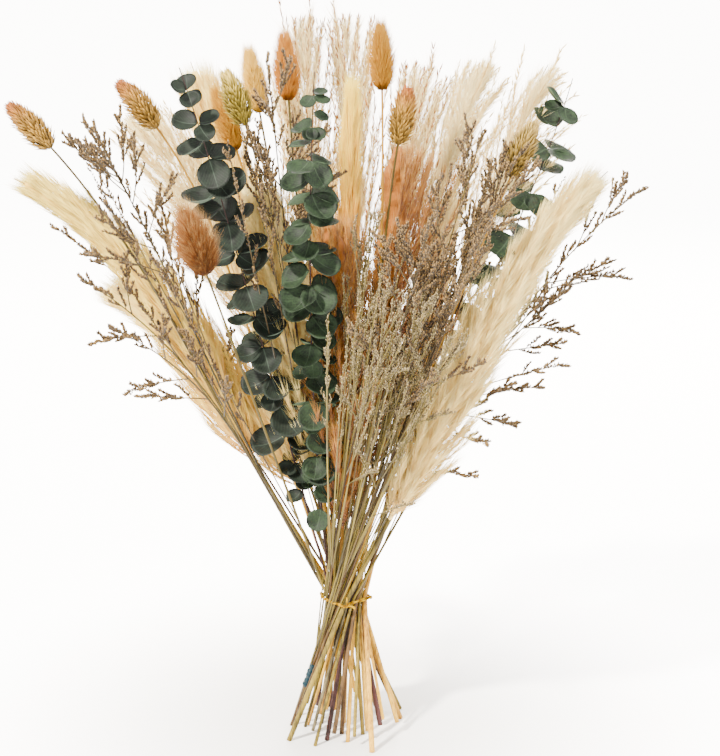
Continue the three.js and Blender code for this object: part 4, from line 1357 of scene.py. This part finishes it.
tie_path = read_tie()
knot = tie_path[np.hypot(*(tie_path[:, :2] - KNOT_NEAR).T).argmin()]
offsets, firsts, seconds, lengths = (np.array(column, float) for column in zip(*KNOT_ENDS))
knot_paths = bent_paths(knot + offsets, unit(firsts), unit(seconds), lengths, KNOT_POINTS)
strands = [closed_tube(twisted(tie_path, phase)) for phase in (0, np.pi)]
tie = joined(*strands, tubes(knot_paths, STRAND_RADIUS, STRAND_SIDES))
TIE_FINISH = fibre_material("yellow tie", "6a4400", "8e6a00", "a88200", 0.3, 0.7, 0.0, 0.05)
marks = 0.5 + 0.5 * np.sin(tie[2] * 2 * np.pi * TWIST_MARKS)
tie_total = add_piece("tie_strands", tie[0], tie[1], TIE_FINISH, "tie", along=marks, tint=marks)
print("tie triangles:", tie_total)

# %% The wrap of tape
TAPED = "fluff_far_right"
TAPE_INSET, TAPE_LEVELS, TAPE_TURNS, TAPE_SIDES = 0.3, 60, 5, 16
TAPE_RADIUS, TAPE_RIDGE, TAPE_UNEVEN = 2.05, 0.45, 0.25

tape_heights = triangles_of("tape")[:, :, 2]
tape_low, tape_high = tape_heights.min(), tape_heights.max()
levels = np.linspace(tape_low + TAPE_INSET, tape_high - TAPE_INSET, TAPE_LEVELS)
taped_points = LINES[TAPED]["points"]
tape_middle = between(levels, taped_points[:, 2], taped_points)
ridge = np.abs((levels - tape_low) / (tape_high - tape_low) * TAPE_TURNS % 1 - 0.5)
tape_radius = TAPE_RADIUS + TAPE_RIDGE * (1 - 2 * ridge) + TAPE_UNEVEN * np.sin(levels * 0.9)
tape = tubes(tape_middle[None], tape_radius[None], TAPE_SIDES)
tape_material, tape_nodes, tape_shader = new_material("teal tape", 0.35)
tape_colour = tape_nodes.mix(tape_nodes.noise(500, (1, 1, 2.5)), linear("02141a"), linear("06323e"))
tape_nodes.feed(tape_shader["Base Color"], tape_colour)
print("tape triangles:", add_piece("tape_wrap", tape[0], tape[1], tape_material, "tape", along=tape[2]))

# %% [markdown]
# ## The floor
#
# A plain pale table, wide enough to fill the view. Away from the feet it glows, for the camera only, so
# that it fades into the white room and its shadow stays clear only near the bundle. The glow lights nothing
# else.

# %% The floor
FLOOR_REACH = 20.0
GLOW = {"From Min": 0.04, "From Max": 0.3, "To Min": 0.0, "To Max": 8.5}

floor_mesh = bpy.data.meshes.new("floor")
floor_corners = [(x * FLOOR_REACH, y * FLOOR_REACH, 0) for x, y in ((-1, -1), (1, -1), (1, 1), (-1, 1))]
floor_mesh.from_pydata(floor_corners, [], [(0, 1, 2, 3)])
floor = new_object("floor", floor_mesh)
floor_material, floor_nodes, floor_shader = new_material("pale table", 0.8)
floor_shader["Base Color"].default_value = linear("fbf9f7")
floor_shader["Emission Color"].default_value = linear("fffaf6")
far_off = floor_nodes.add("VectorMath")
far_off.operation = "LENGTH"
floor_nodes.feed(far_off.inputs[0], floor_nodes.add("TexCoord").outputs["Object"])
glow = floor_nodes.add("MapRange")
glow.interpolation_type = "SMOOTHSTEP"
floor_nodes.feed(glow.inputs["Value"], far_off.outputs["Value"])
for label, value in GLOW.items():
    glow.inputs[label].default_value = value
seen = floor_nodes.add("LightPath").outputs["Is Camera Ray"]
strength = floor_nodes.math("MULTIPLY", seen, glow.outputs["Result"])
floor_nodes.feed(floor_shader["Emission Strength"], strength)
floor_mesh.materials.append(floor_material)

# %% Update the view layer
bpy.context.view_layer.update()
